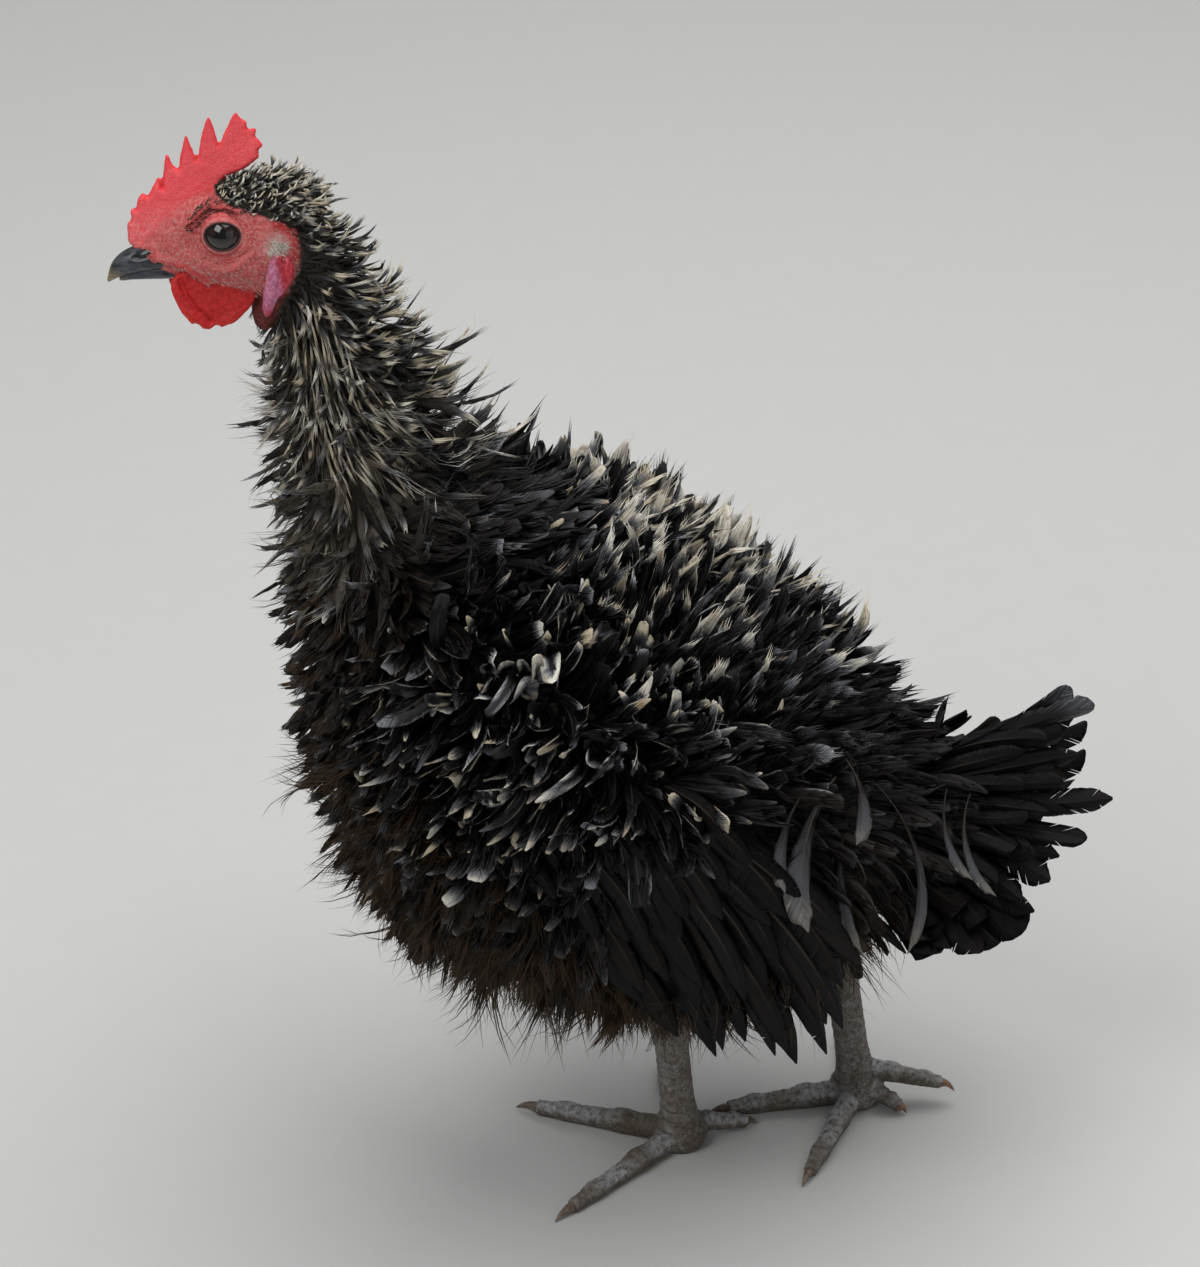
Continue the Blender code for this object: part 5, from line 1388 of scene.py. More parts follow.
# Guides for the lie of the coat. Each row: place s and turn in degrees (0 on the back, 180 below), then the
# angle in side view (0 towards the tail, 90 up, 180 towards the head) and the lift off the skin, both where
# the feather starts and where it ends, then length, width, pale tip and brown share.
GUIDES = (
    (-1.2, 0, 35, 22, 60, 45, 5.0, 1.3, 1.35, 0.25), (-0.5, 0, 24, 28, 42, 48, 8.6, 1.7, 1.40, 0.25),
    (-1.2, 70, 10, 20, 30, 32, 4.6, 1.2, 1.20, 0.35), (-0.6, 90, -8, 22, 5, 36, 6.5, 1.4, 1.10, 0.30),
    (0.2, 0, 20, 30, 32, 50, 12, 2.0, 1.40, 0.25), (0.2, 60, -5, 25, 12, 42, 10, 1.8, 1.25, 0.30),
    (0.3, 110, -48, 20, -42, 35, 9, 1.8, 0.80, 0.40), (0.3, 165, -90, 20, -110, 35, 9, 2.0, 0.35, 0.55),
    (1.3, 0, 5, 38, 36, 54, 19, 2.6, 1.35, 0.30), (1.3, 60, -20, 26, 4, 42, 15, 2.3, 1.20, 0.35),
    (1.3, 110, -70, 20, -75, 32, 13, 2.2, 0.80, 0.60), (1.3, 165, -115, 35, -155, 60, 14, 3.2, 0.85, 0.85),
    (2.4, 0, -2, 38, 40, 50, 26, 3.8, 1.15, 0.25), (2.4, 60, -20, 30, 8, 44, 20, 3.6, 0.95, 0.40),
    (2.4, 110, -75, 26, -88, 48, 16, 3.2, 0.80, 0.85), (2.4, 165, -125, 40, -165, 68, 18, 3.8, 0.95, 0.85),
    (3.5, 0, -2, 34, 42, 48, 33, 6.0, 0.60, 0.15), (3.5, 60, -12, 30, 16, 42, 27, 6.0, 0.55, 0.30),
    (3.5, 110, -75, 32, -110, 56, 19, 4.6, 0.55, 0.80), (3.5, 165, -125, 40, -155, 66, 18, 4.2, 0.65, 0.85),
    (4.6, 0, 5, 25, 24, 34, 36, 9.0, 0.22, 0.05), (4.6, 60, -5, 22, 14, 38, 34, 9.0, 0.20, 0.05),
    (4.8, 110, -65, 34, -118, 60, 22, 6.5, 0.40, 0.50), (4.8, 165, -110, 34, -140, 56, 18, 5.0, 0.40, 0.75),
    (5.6, 0, 24, 32, 48, 46, 33, 8.0, 0.55, 0.00), (5.6, 45, 5, 24, 26, 42, 34, 9.0, 0.20, 0.00),
    (5.6, 90, -85, 40, -150, 62, 29, 8.0, 0.60, 0.03), (5.6, 135, -90, 32, -135, 60, 21, 6.5, 0.50, 0.35),
    (5.6, 180, -100, 34, -135, 54, 19, 5.4, 0.20, 0.65),
    (6.5, 0, 45, 45, 62, 50, 33, 6.5, 1.75, 0.00), (6.5, 38, 58, 34, 74, 44, 31, 6.6, 0.95, 0.00),
    (6.5, 82, -85, 44, -152, 64, 28, 8.0, 0.80, 0.00), (6.5, 130, -90, 36, -135, 62, 23, 6.5, 0.50, 0.35),
    (6.5, 180, -100, 38, -130, 62, 21, 5.6, 0.12, 0.85),
    (7.6, 0, 45, 45, 56, 50, 33, 6.2, 1.75, 0.00), (7.6, 38, 60, 38, 74, 46, 30, 6.4, 0.90, 0.05),
    (7.6, 85, -65, 34, -110, 50, 27, 7.8, 0.34, 0.00), (7.6, 130, -90, 36, -120, 60, 24, 7.5, 0.15, 0.45),
    (7.6, 180, -95, 40, -115, 66, 25, 6.5, 0.03, 1.00),
    (8.8, 0, 38, 42, 50, 48, 31, 6.2, 1.10, 0.00), (8.8, 42, 45, 34, 56, 44, 28, 6.6, 0.50, 0.05),
    (8.8, 88, -45, 26, -72, 44, 29, 8.5, 0.08, 0.03), (8.8, 140, -80, 32, -100, 58, 25, 7.5, 0.03, 0.70),
    (8.8, 180, -90, 42, -100, 68, 25, 6.5, 0.00, 1.00),
    (10, 0, 28, 35, 38, 42, 30, 7.0, 0.36, 0.05), (10, 50, 20, 30, 2, 46, 28, 7.5, 0.18, 0.08),
    (10, 100, -45, 30, -78, 52, 28, 7.5, 0.12, 0.30), (10, 180, -60, 34, -80, 62, 24, 6.0, 0.00, 0.90),
    (11.2, 0, 20, 25, 28, 32, 36, 8.0, 0.12, 0.05), (11.2, 60, -5, 25, -26, 46, 34, 8.0, 0.10, 0.10),
    (11.2, 120, -45, 30, -80, 48, 28, 7.0, 0.04, 0.25), (11.2, 180, -30, 28, -60, 46, 22, 6.0, 0.00, 0.75),
    (12.5, 0, 20, 15, 25, 22, 42, 10, 0.02, 0.05), (12.5, 90, -15, 18, -28, 32, 38, 10, 0.02, 0.08),
    (12.5, 180, -30, 20, -44, 36, 28, 9.0, 0.00, 0.30),
)
GUIDE_REACH = (0.62, 24.0)


def groomed(roots, rng, wild=0.16, stray=0.0):
    """The lie of a feather at each root, from the guides round it. firm is low where the guides part."""
    table = np.array(GUIDES)
    s, turn = roots.s[:, None], roots.round[:, None]
    far = ((s - table[:, 0]) / GUIDE_REACH[0]) ** 2 + ((turn - table[:, 1]) / GUIDE_REACH[1]) ** 2
    far = far - stray * rng.gumbel(size=far.shape)
    weight = np.exp(-(far - far.min(1, keepdims=True)))
    weight /= weight.sum(1, keepdims=True)
    ways, firm = [], 0
    for angle, lift in ((2, 3), (4, 5)):
        a, l = np.radians(table[:, angle]), np.radians(table[:, lift])
        x, z, out = (weight @ np.stack([np.cos(a) * np.cos(l), np.sin(a) * np.cos(l), np.sin(l)], 1)).T
        strength = np.hypot(x, z) / (weight @ np.cos(l))
        firm = firm + strength / 2
        way = np.stack([x, 0 * x, z], 1)
        way = way - roots.normal * (way * roots.normal).sum(1, keepdims=True)
        way = unit(way) * np.hypot(x, z)[:, None] + roots.normal * out[:, None]
        loose = wild * (1 + (angle == 4)) * (2.4 - 1.4 * np.clip(strength, 0, 1))
        ways.append(unit(unit(way) + rng.normal(0, 1, way.shape) * loose[:, None]))
    size = weight @ table[:, 6:]
    return {"start": ways[0], "finish": ways[1], "length": size[:, 0], "width": size[:, 1],
            "pale": size[:, 2], "brown": size[:, 3], "firm": np.clip(firm, 0, 1)}


def plant(coat, templates, roots, rng, scale=(1.0, 1.0), wild=0.16, sink=1.2, stray=0.35, **look):
    """Grows a coat over roots along the guides, each feather a little different in size and lie."""
    if not len(roots.place):
        return
    lie = groomed(roots, rng, wild, stray)
    n = len(roots.place)
    vary = rng.uniform(0.7, 1.25, n)
    look = {"pale": lie["pale"] * 1.6 * rng.random(n) ** 1.1,
            "brown": np.clip(lie["brown"] * rng.uniform(0.6, 1.4, n), 0, 1),
            "cup": rng.uniform(0.0, 0.7, n), "twist": rng.normal(0, 0.6, n), "sway": rng.normal(0, 1.4, n),
            **look}
    coat.grow(templates, roots, lie["start"], lie["finish"], lie["length"] * vary * scale[0],
              lie["width"] * rng.uniform(0.6, 1.15, n) * scale[1], sink, **look)


def side_look(angle, lift, normal):
    """A direction from an angle in side view and a lift off the skin, at each normal."""
    angle, lift = np.radians(angle), np.radians(lift)
    way = np.stack([np.cos(angle) * np.ones(len(normal)), np.zeros(len(normal)),
                    np.sin(angle) * np.ones(len(normal))], 1)
    way = unit(way - normal * (way * normal).sum(1, keepdims=True))
    return way * np.cos(lift) + normal * np.sin(lift)


def leaning(roots, rng, angle, lift, wild):
    """Directions by an angle in side view and a lift, each a little off."""
    return side_look(angle, lift, roots.normal) + rng.normal(0, wild, roots.normal.shape)


# Half the width of the head's front, outside which the face's hairs grow.
FLANK = 6.0
# A pale hair from its root to its tip, with no painted shade at its root.
PALE_HAIR = {"begin": -0.9, "cup": 0, "lit": 1.0}


def crown_pins(coat, roots, pins, rng):
    """Two layers of pins on the crown and nape, short and close near the face."""
    x, y, z = roots.local.T
    crown = (roots.s < 0) & (bare_share(roots.local) < 0.5) & ~((z > 13) & (x < 10) & (np.abs(y) < 2.4))
    own = roots.spread(crown, 1.2, rng)
    plant(coat, pins, own, rng, (1.0, 1.0), 0.22, 0.5, begin=rng.uniform(-0.3, 0.5, len(own.s)), cup=0.0,
          lit=0.25)
    own = roots.spread(crown, np.where(x - line_start(z) < 6.5, 0.85, 1.25), rng)
    plant(coat, pins, own, rng, (0.62, 0.9), 0.25, 0.3, begin=rng.uniform(-0.2, 0.7, len(own.s)), cup=0.0,
          lit=0.2)


def brow_and_throat(coat, roots, fuzz, rng):
    """The dark brow over the eye and the dark down under the throat."""
    x, y, z = roots.local.T
    bare = bare_share(roots.local) > 0.5
    near = (bump_line(x, z, BROW, 2.2) > 0.4) & (np.abs(y) > FLANK) & (eye_reach(x, z) > 1.5)
    brow = roots.spread(near & bare, 0.5, rng)
    way = leaning(brow, rng, 28, 12, 0.18)
    coat.grow(fuzz, brow, way, way + brow.normal * 0.2, rng.uniform(1.8, 4.2, len(way)), 1.4,
              tint=rng.uniform(0, 0.4, len(way)), brown=0.8, pale=rng.uniform(0, 0.7, len(way)))
    gullet = roots.spread(bare & (z < -20.5) & (x > 2), 0.9, rng)
    way = leaning(gullet, rng, -105, 14, 0.25)
    coat.grow(fuzz, gullet, way, way, rng.uniform(2.0, 4.5, len(way)), 1.5,
              tint=rng.uniform(0, 0.3, len(way)), brown=0.7)


def face_hairs(coat, roots, hairs, rng):
    """Short pale hairs on the bare face, lying round the eye."""
    x, y, z = roots.local.T
    face = (bare_share(roots.local) > 0.5) & (np.abs(y) > FLANK) & (eye_reach(x, z) > 1.32) & (x > -21)
    down = roots.spread(face & (z < 12) & (line_distance(x, z, BROW) > 1.0), 0.85, rng)
    dx, dz = down.local[:, 0], down.local[:, 2]
    angle = -32 + 55 * ease(dz, -4, 6) + 40 * ease(dz, 5, 11) - 18 * ease(dx, 4, 14)
    way = side_look(angle, 14, down.normal)
    wild = rng.normal(0, 0.16, way.shape)
    length = rng.uniform(1.3, 2.4, len(way)) * (0.75 + 0.5 * ease(-dz, 4, 12))
    coat.grow(hairs, down, way + wild, way + down.normal * 0.1 + wild * 2, length, 0.8, pale=1.4,
              tint=rng.uniform(0.3, 1.0, len(way)), **PALE_HAIR)


def jaw_and_ear(coat, roots, fuzz, rng):
    """A row of bristles along the jaw and the tuft of hairs over the ear."""
    x, y, z = roots.local.T
    flank = np.abs(y) > FLANK
    jaw = roots.spread((line_distance(x, z, JAW) < 0.8) & flank & (x > -11) & (x < 11), 0.95, rng)
    way = leaning(jaw, rng, -58, 24, 0.1)
    bristles = [tuft(rng, 3.2, 0.8, 1, 0.34, 3) for _ in range(4)]
    coat.grow(bristles, jaw, way, way, rng.uniform(2.4, 3.6, len(way)), 0.6, pale=1.5, tint=1.0, **PALE_HAIR)
    ear = roots.spread((bump_spot(x, z, EAR, 3.3, 3.1) > 0.36) & flank, 0.5, rng)
    way = leaning(ear, rng, -30, 26, 0.30)
    coat.grow(fuzz, ear, way, way + ear.normal * 0.3, rng.uniform(2.6, 5.2, len(way)), 2.6, pale=1.5,
              tint=1.0, **PALE_HAIR)


def head_coat(roots, paint):
    """Pins on the crown and nape, the dark brow, pale hairs on the face, jaw bristles and ear tufts."""
    rng = np.random.default_rng(SEED + 1)
    pins = [pin(rng, 8, 1.9, 5) for _ in range(10)]
    hairs = [tuft(rng, 2.4, 1.2, 2, 0.15, 2) for _ in range(6)]
    fuzz = [tuft(rng, 4.5, 2.6, 5, 0.20, 3) for _ in range(6)]
    coat = Coat("coat_head", "neck_plumage", paint, SEED + 2)
    crown_pins(coat, roots, pins, rng)
    brow_and_throat(coat, roots, fuzz, rng)
    face_hairs(coat, roots, hairs, rng)
    jaw_and_ear(coat, roots, fuzz, rng)
    coat.finish()


def neck_coat(roots, paint):
    """The neck: spiky pins above, straw quills down its sides, loose plumes below and fluff in front."""
    rng = np.random.default_rng(SEED + 3)
    pins = [pin(rng, 15, 2.4, 5) for _ in range(10)]
    spiky = [vane(rng, 24, 5, POINTED_VANE, 7, 0.35, 1.0, 0.80, 4, 6) for _ in range(12)]
    down = [tuft(rng, 16, 9, 9, 0.24, 4) for _ in range(8)]
    s, turn = roots.s, roots.round
    neck = (s >= 0) & (s < 4.5) & (bare_share(roots.local) < 0.5)
    coat = Coat("coat_neck_upper", "neck_plumage", paint, SEED + 4)
    own = roots.spread(neck & (s < 2.6), 1.7 + 0.45 * np.clip(s, 0, 3), rng)
    plant(coat, pins, own, rng, (1.0, 1.0), 0.22, 0.8, begin=rng.uniform(-0.2, 0.6, len(own.s)), cup=0.0)
    own = roots.spread(neck & (s < 3.0) & (turn > 75), 2.9, rng)
    plant(coat, down, own, rng, (rng.uniform(0.8, 1.6, len(own.s)), 1.8), 0.45, begin=0.1, lit=0.25,
          tint=rng.uniform(0.3, 1, len(own.s)))
    coat.finish()
    coat = Coat("coat_neck_lower", "neck_plumage", paint, SEED + 5)
    own = roots.spread(neck & (s > 1.8), 2.7 + 0.5 * np.clip(s - 1.5, 0, 3), rng)
    length = 1.05 + np.where(own.round < 80, 0.5, 0.3) * (rng.random(len(own.s)) < 0.25)
    plant(coat, spiky, own, rng, (length, 0.95), 0.26, begin=0.4, edge=rng.uniform(0, 0.75, len(own.s)))
    own = roots.spread(neck & (s > 2.0), 3.9, rng)
    plant(coat, down, own, rng, (rng.uniform(0.8, 1.5, len(own.s)), 1.6), 0.42, begin=0.2, lit=0.25,
          tint=rng.uniform(0.3, 1, len(own.s)))
    coat.finish()
    coat = Coat("coat_neck_quills", "neck_plumage", paint, SEED + 6)
    quill = [pin(rng, 28, 1.5, 3) for _ in range(8)]
    sides = neck & (s > 0.8) & (s < 3.1) & (turn > 56) & (turn < 122)
    band = roots.spread(sides, 3.0, rng)
    angle = -80 + 36 * ease(band.s, 1.0, 3.0) + rng.normal(0, 7, len(band.s))
    way = side_look(angle, 19, band.normal)
    long = rng.uniform(14, 31, len(way))
    coat.grow(quill, band, way, way + rng.normal(0, 0.12, way.shape), long, rng.uniform(1.0, 1.7, len(way)),
              pale=rng.uniform(0.6, 1.3, len(way)), begin=-0.2, tint=rng.uniform(0, 0.6, len(way)), brown=0.4)
    coat.finish()


def body_coat(roots, paint):
    """Curled contour feathers over the back, the sides with the wings' coverts, the breast and the belly."""
    rng = np.random.default_rng(SEED + 8)
    s, turn, (x, y, z) = roots.s, roots.round, roots.place.T
    flights = (np.abs(y) > 45) & (x > -14) & (z < 173 + 0.12 * x) & (z > 96)
    body = (s >= 4.2) & ~roots.shin & ~flights
    plume = [vane(rng, 30, 8, ROUND_VANE, 10, 0.14, 0.9, 0.94, 2, rng.integers(3, 7)) for _ in range(14)]
    slim = [vane(rng, 30, 6, POINTED_VANE, 10, 0.15, 0.9, 0.97, 2, rng.integers(1, 5)) for _ in range(14)]
    lance = [vane(rng, 30, 6, NARROW_VANE, 9, 0.3, 0.9, 0.84, 3, rng.integers(7, 11)) for _ in range(14)]
    leaf = [vane(rng, 20, 6, POINTED_VANE, 6, 0.3, 1.0, 0.86, 3, 6) for _ in range(10)]
    wisp = [vane(rng, 24, 5, POINTED_VANE, 5, 0.4, 1.0, 0.66, 4, 9) for _ in range(10)]
    dense = 0.54 + 0.46 * ease(roots.firm, 0.45, 0.97)
    back = body & (turn < 38) & (s < 5.9)
    saddle = body & (s >= 5.9) & (s < 10.6) & (turn < 50)
    rump = body & (turn < 38) & (s >= 10.6)
    side = body & (turn < 112) & ~back & ~saddle & ~rump
    zones = {
        "coat_back": (back, plume + slim, 4.1, 0.65),
        "coat_saddle": (saddle, lance, 3.4, 0.5),
        "coat_side_left": (side & (y < 0), plume + slim, 4.1 + 0.7 * ease(s, 9, 11), 0.72),
        "coat_side_right": (side & (y >= 0), plume + slim, 4.1 + 0.7 * ease(s, 9, 11), 0.72),
        "coat_breast": (body & (turn >= 112) & (s < 7.3), leaf, 3.9, 0.6),
        "coat_rump": (rump, plume, 4.8, 0.5),
        "coat_belly": (body & (turn >= 112) & (s >= 7.3), wisp, 5.6, 0.5),
    }
    for name, (mask, shapes, spacing, begin) in zones.items():
        coat = Coat(name, "black_plumage", paint, SEED + 9)
        own = roots.spread(mask, spacing * dense, rng)
        pale = groomed(own, np.random.default_rng(0), 0)["pale"]
        edge = np.clip(pale * 2.2 * rng.random(len(own.s)) ** 1.5 - 0.1, 0, 1)
        # About one in seven feathers is wider, with a high tint that brightens the painted grey sheen on its
        # face.
        bold = rng.random(len(own.s)) < 0.14
        long = 1.3 if mask is saddle else 1.1
        plant(coat, shapes, own, rng, (long, np.where(bold, 1.15, 0.86)), 0.15, 1.2, 0.5, edge=edge,
              begin=begin + rng.uniform(-0.2, 0.2, len(own.s)),
              tint=np.maximum(rng.random(len(own.s)) ** (0.9 if mask is saddle else 2.2), 0.85 * bold))
        coat.finish()
    low = body & (turn > 104) & (s > 5.8) & (s < 10.8)
    hairs = [tuft(rng, 26, 12, 9, 0.32, 4) for _ in range(10)]
    for name, mask in (("coat_down_front", low & (s < 7.6)), ("coat_down_rear", low & (s >= 7.6))):
        coat = Coat(name, "black_plumage", paint, SEED + 10)
        fluff = roots.spread(mask, 3.7, rng)
        plant(coat, hairs, fluff, rng, (rng.uniform(1.0, 1.7, len(fluff.s)), 2.4), 0.42, begin=0.9,
              tint=rng.uniform(0.4, 1, len(fluff.s)), brown=rng.uniform(0.7, 1, len(fluff.s)))
        coat.finish()


def shin_coat(roots, paint):
    """Long down over the shins."""
    rng = np.random.default_rng(SEED + 12)
    coat = Coat("coat_shins", "black_plumage", paint, SEED + 13)
    down = [tuft(rng, 18, 10, 8, 0.30, 4) for _ in range(6)]
    own = roots.spread(roots.shin, 3.0, rng)
    way = leaning(own, rng, -92, 28, 0.15)
    coat.grow(down, own, way, way + own.normal * 0.3, rng.uniform(9, 18, len(way)), 9, brown=0.95, cup=0.2,
              tint=rng.uniform(0.2, 1, len(way)))
    coat.finish()


def broad_vane(rng, length, width, shape, rings, slits, lead, thick=0.3):
    """A flight or tail feather: a raised shaft, seven columns across, and narrow slits in its edges."""
    made = Template(length, width)
    columns = np.array([-1, -0.55, -0.06, 0, 0.06, 0.55, 1])
    rise = np.array([0, 0.45, 0.5, 1.7, 0.5, 0.45, 0]) * thick
    cuts = [(side, rng.uniform(0.45, 0.93), rng.uniform(0.2, 0.7)) for side in (0, 1) for _ in range(slits)]
    fine = 0.3 / length
    even = [np.linspace(0, 0.8, rings - 9), np.linspace(0.82, 1, 10)]
    v = np.concatenate(even + [(at - fine, at, at + fine) for _, at, _ in cuts])
    v = np.clip(np.sort(v), 0, 1)
    w = np.interp(v, *zip(*shape)) * width / 2
    keep = 1 - 0.05 * rng.random((2, len(v)))
    for side, at, left in cuts:
        keep[side, np.abs(v - at) < fine * 0.5] = left
    half = np.where(columns[None] < 0, (w * keep[0])[:, None] * (0.7 if lead < 0 else 1),
                    (w * keep[1])[:, None] * (0.7 if lead > 0 else 1))
    across = columns[None] * half
    forward = v[:, None] * length + 0.9 * np.abs(across) * (ease(v, 0, 0.2) * (1 - ease(v, 0.82, 1)))[:, None]
    taper = (1.1 - 0.8 * v)[:, None]
    top = np.stack([across, forward, rise[None] * taper], -1)
    bottom = np.stack([across, forward, -rise[None] * taper * 0.6], -1)[:, 1:-1]
    ring = np.concatenate([top, bottom[:, ::-1]], 1)
    sides = ring.shape[1]
    made.points = list(ring.reshape(-1, 3))
    for i in range(len(v) - 1):
        for k in range(sides):
            a, b = i * sides + k, i * sides + (k + 1) % sides
            made.quad(a, b, b + sides, a + sides)
    last = (len(v) - 1) * sides
    for k in range(1, sides - 1):
        made.faces += [(0, k + 1, k), (last, last + k, last + k + 1)]
    return made.done()


FLIGHT_SHAPE = ((0, 0.12), (0.08, 0.5), (0.3, 0.88), (0.55, 1.0), (0.76, 0.88), (0.88, 0.6), (0.96, 0.28),
                (1, 0.05))
TAIL_SHAPE = ((0, 0.12), (0.1, 0.42), (0.35, 0.75), (0.65, 0.96), (0.82, 1.0), (0.9, 0.93), (0.95, 0.78),
              (0.98, 0.58), (0.995, 0.34), (1, 0.15))
BLADE_SHAPE = ((0, 0.12), (0.1, 0.4), (0.35, 0.8), (0.6, 1.0), (0.78, 0.92), (0.9, 0.66), (0.96, 0.4),
               (1, 0.1))
LANCE_SHAPE = ((0, 0.05), (0.2, 0.18), (0.45, 0.62), (0.62, 1.0), (0.78, 0.86), (0.91, 0.42), (1, 0.05))
# Rows of the wing, from the flights up: count, share of the length, width, step out, shift and lift.
WING_ROWS = (
    (14, 1.00, 15.5, 0.0, (0, 0, 0), 0.00), (13, 0.70, 14, 3.5, (-4, 0, 5), 0.05),
    (13, 0.46, 12, 6.5, (-6, 0, 12), 0.10), (11, 0.30, 10, 9.0, (-7, 0, 19), 0.22),
)


def wing_feathers(side, paint):
    """Primaries and secondaries in a fan, with rows of smooth coverts over their roots."""
    name = "left" if side < 0 else "right"
    rng = np.random.default_rng(SEED + 14)
    coat = Coat(f"wing_{name}_feathers", "black_plumage", paint, SEED + 15)
    flip = np.array([1, -side, 1.0])
    shapes = [broad_vane(rng, 95, 15, FLIGHT_SHAPE, 26, rng.integers(1, 5), side) for _ in range(10)]
    for count, part, width, outer, shift, lift in WING_ROWS:
        share = np.linspace(0, 1, count)
        root = rows_at(FLIGHT_ROOTS, share * (len(FLIGHT_ROOTS) - 1))
        tip = rows_at(FLIGHT_TIPS, share * (len(FLIGHT_TIPS) - 1))
        root[:, 1] -= (share - 0.45) * 14.0 + outer
        tip[:, 1] = root[:, 1] - 1.5
        reach = (tip - root) * part * rng.uniform(0.84, 1.04, (count, 1))
        tip = root + reach + rng.normal(0, 1.3, (count, 3))
        root, tip = (root + np.array(shift)) * flip, (tip + np.array(shift)) * flip
        way = tip - root
        long = np.linalg.norm(way, axis=1)
        way = unit(way)
        bow = unit(np.cross(way, (0, 1.0, 0))) * rng.uniform(0.30, 0.52, (count, 1)) * (0.6 + 0.4 * part)
        facing = unit(np.tile((0.0, side, 0.15), (count, 1)))
        coat.grow(shapes, roots_at(root, facing), way + bow + facing * (lift + 0.05),
                  way - bow + facing * (lift - 0.08), long * 1.03, width * rng.uniform(0.88, 1.1, count),
                  tint=rng.uniform(0.0, 0.5, count), brown=rng.uniform(0, 0.35, count),
                  cup=rng.uniform(0.2, 0.7, count), twist=rng.normal(0, 0.25, count),
                  sway=rng.normal(0, 1.2, count), lit=0.3)
    coat.finish()


# Rows of the tail, from the middle out: pairs, share of the length, width, step out, curl and first place.
TAIL_ROWS = (
    (8, 1.0, 1.0, 0.0, 0.22, 0.0), (8, 0.90, 0.95, -2.0, 0.14, 0.5),
    (8, 0.80, 0.8, 2.4, 0.34, 0.5), (7, 0.64, 0.66, 4.6, 0.5, 0.5),
)


def tail_feathers(paint):
    """Broad feathers in a low tent, and shorter ones over their roots. The lower ones overlap in one mass."""
    rng = np.random.default_rng(SEED + 16)
    coat = Coat("tail_feathers", "black_plumage", paint, SEED + 17)
    outlines = (TAIL_SHAPE, BLADE_SHAPE) * 6
    shapes = [broad_vane(rng, 72, 15, outline, 24, rng.integers(1, 8), 0) for outline in outlines]
    for count, part, wide, outer, curl, first in TAIL_ROWS:
        share = (np.arange(count) + first) / 7 * (len(TAIL_TIPS) - 1)
        for side in (-1, 1):
            flip = np.array([1, -side, 1.0])
            root, tip = rows_at(TAIL_ROOTS, share) * flip, rows_at(TAIL_TIPS, share) * flip
            normal = unit(np.cross(np.gradient(tip, axis=0), tip - root))
            normal *= np.where(normal[:, 1] * side < 0, -1, 1)[:, None]
            tip = root + (tip - root) * part * rng.uniform(0.86, 1.03, (count, 1))
            way = unit(tip - root)
            step = outer - 0.9 * np.arange(count) * 8 / count
            root = root - way * 6 + normal * step[:, None]
            long = np.linalg.norm(tip - root, axis=1)
            bend = (curl + rng.normal(0, 0.13, count))[:, None]
            # The middle pair gets a painted highlight: a bright grey sheen towards each feather's end.
            coat.grow(shapes, roots_at(root, normal), way - normal * bend * 0.6, way + normal * bend,
                      long * 1.01,
                      wide * (11.5 + 7.5 * ease(share, 2.0, 5.0)) * rng.uniform(0.75, 1.15, count),
                      tint=np.where(share == 0, 1.0, rng.random(count) * 0.7),
                      pale=np.where(share == 0, 0.22, 0.0), begin=0.6,
                      brown=rng.uniform(0.0, 0.28, count), cup=rng.uniform(0.1, 0.6, count),
                      twist=rng.normal(0, 0.4, count), sway=rng.normal(0, 2.6, count), lit=0.2)
    coat.finish()


# Feathers that stand out singly on the left: root, tip, width, curl and how grey their painted sheen is.
SINGLES = (
    ((71, -44, 176), (60, -74, 133), 13.0, 0.9, 0.45), ((74, -46, 184), (78, -62, 160), 7.0, -0.9, 0.5),
    ((60, -48, 172), (52, -72, 148), 7.5, 0.8, 0.3), ((84, -30, 166), (97, -56, 110), 5.0, -1.2, 0.25),
    ((77, -36, 160), (80, -62, 116), 5.0, 0.8, 0.1), ((110, -26, 160), (117, -48, 136), 5.0, 1.0, 0.3),
    ((118, -26, 158), (125, -50, 130), 5.5, 1.2, 0.35),
)


def single_feathers(paint):
    """The few feathers that stand out from the left side."""
    rng = np.random.default_rng(SEED + 18)
    coat = Coat("coat_single_plumes", "black_plumage", paint, SEED + 19)
    shapes = [broad_vane(rng, 38, 11, LANCE_SHAPE, 24, 1, 0, 0.2) for _ in range(3)]
    root = np.array([row[0] for row in SINGLES], float)
    tip = np.array([row[1] for row in SINGLES], float)
    width, curl, grey = (np.array([row[k] for row in SINGLES]) for k in (2, 3, 4))
    way = tip - root
    long = np.linalg.norm(way, axis=1)
    way = unit(way)
    facing = unit(np.tile((0.0, -1.0, 0.45), (len(root), 1)))
    bow = unit(np.cross(way, facing)) * curl[:, None] * 0.6
    # Their low pale share paints most of each face with the grey sheen, brighter for a higher last column.
    coat.grow(shapes, roots_at(root, facing), way + bow + facing * 0.35, way - bow - facing * 0.3,
              long * 1.04, width, tint=0.35 * grey, pale=0.44, begin=-0.05, edge=0.46, cup=0.5,
              twist=curl * 0.7, brown=0.15, lit=0.2)
    coat.finish()


# Studio


FLOOR_HALF = 6.0
SKY, SKY_POWER = (0.86, 0.90, 0.95, 1), 0.17
# Lights: name, place, size in metres and power in watts.
LIGHTS = (("key", (-0.9, -0.9, 1.6), 1.0, 13), ("top", (0.25, 0.35, 1.9), 2.2, 34),
          ("fill", (1.3, -1.5, 0.8), 1.6, 3))


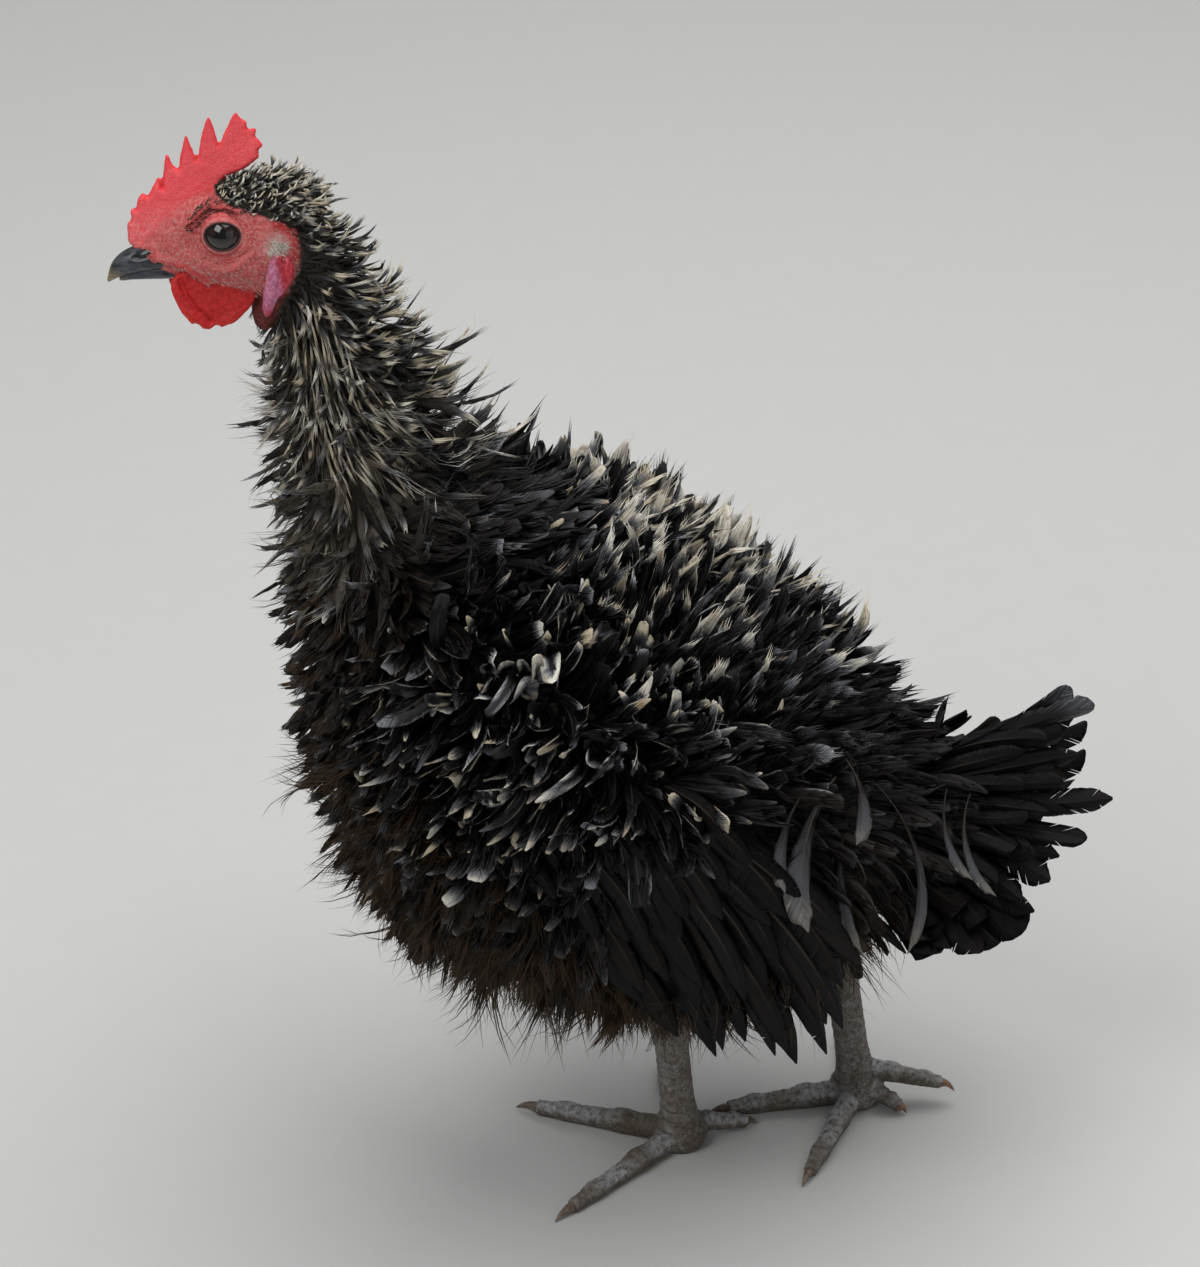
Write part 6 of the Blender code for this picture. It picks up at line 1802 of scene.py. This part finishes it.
def make_floor():
    """A pale, faintly mottled floor."""
    paint = Paint("floor")
    grain = paint.noise(60, 3)
    material = paint.finish(paint.ramp(grain, 0.3, 0.7, (0.63, 0.625, 0.61), (0.636, 0.631, 0.616)), 0.8)
    corners = [(x * FLOOR_HALF, y * FLOOR_HALF, 0) for x, y in ((-1, -1), (1, -1), (1, 1), (-1, 1))]
    mesh = plain_mesh("floor", corners, [(0, 1, 2, 3)])
    mesh.materials.append(material)
    placed("floor", mesh)


def make_studio():
    """A pale floor, three soft lights that aim at the bird, and a faint sky."""
    make_floor()
    for name, place, size, power in LIGHTS:
        light = bpy.data.lights.new(name, "AREA")
        light.size, light.energy = size, power
        made = placed(name, light)
        made.location = place
        aim = Vector((0, 0, 0.2)) - Vector(place)
        made.rotation_euler = aim.to_track_quat("-Z", "Y").to_euler()
    world = bpy.data.worlds.new("studio")
    world.use_nodes = True
    sky = world.node_tree.nodes["Background"].inputs
    sky[0].default_value, sky[1].default_value = SKY, SKY_POWER
    bpy.context.scene.world = world
    bpy.context.scene.view_settings.view_transform = "Standard"


def make_camera():
    """The camera of the photo."""
    lens = bpy.data.cameras.new("camera")
    lens.lens, lens.sensor_width, lens.sensor_height = CAMERA_LENS, CAMERA_SENSOR, CAMERA_SENSOR
    lens.clip_start, lens.clip_end = 0.05, 50
    made = placed("camera", lens)
    made.location = CAMERA_AT
    made.rotation_euler = (math.pi / 2 - CAMERA_DOWN, 0, 0)
    bpy.context.scene.camera = made


def main():
    """The studio, the skin with the parts of the head and legs, and then the coat over it."""
    make_camera()
    make_studio()
    skin_look = skin_paint()
    skin = make_skin(skin_look)
    make_lids(skin_look)
    make_comb()
    make_flaps()
    make_bill()
    make_eyes()
    scales, horn = leg_paint(), claw_paint()
    for side, leg in LEGS.items():
        make_leg(side, leg, scales, horn)
    roots = scattered(skin, np.random.default_rng(SEED), SAMPLES)
    paint = plume_paint("plumage")
    neck_paint = plume_paint("neck_plumage", (0.018, 0.015, 0.012), (0.150, 0.128, 0.098))
    head_coat(roots, neck_paint)
    neck_coat(roots, neck_paint)
    body_coat(roots, paint)
    shin_coat(roots, paint)
    flight_paint = plume_paint("flight_plumage", (0.006, 0.005, 0.004), (0.040, 0.028, 0.018), gloss=0.10)
    for side in (-1, 1):
        wing_feathers(side, flight_paint)
    tail_feathers(flight_paint)
    single_feathers(plume_paint("painted_sheen_plumage", fray=0.35))


main()
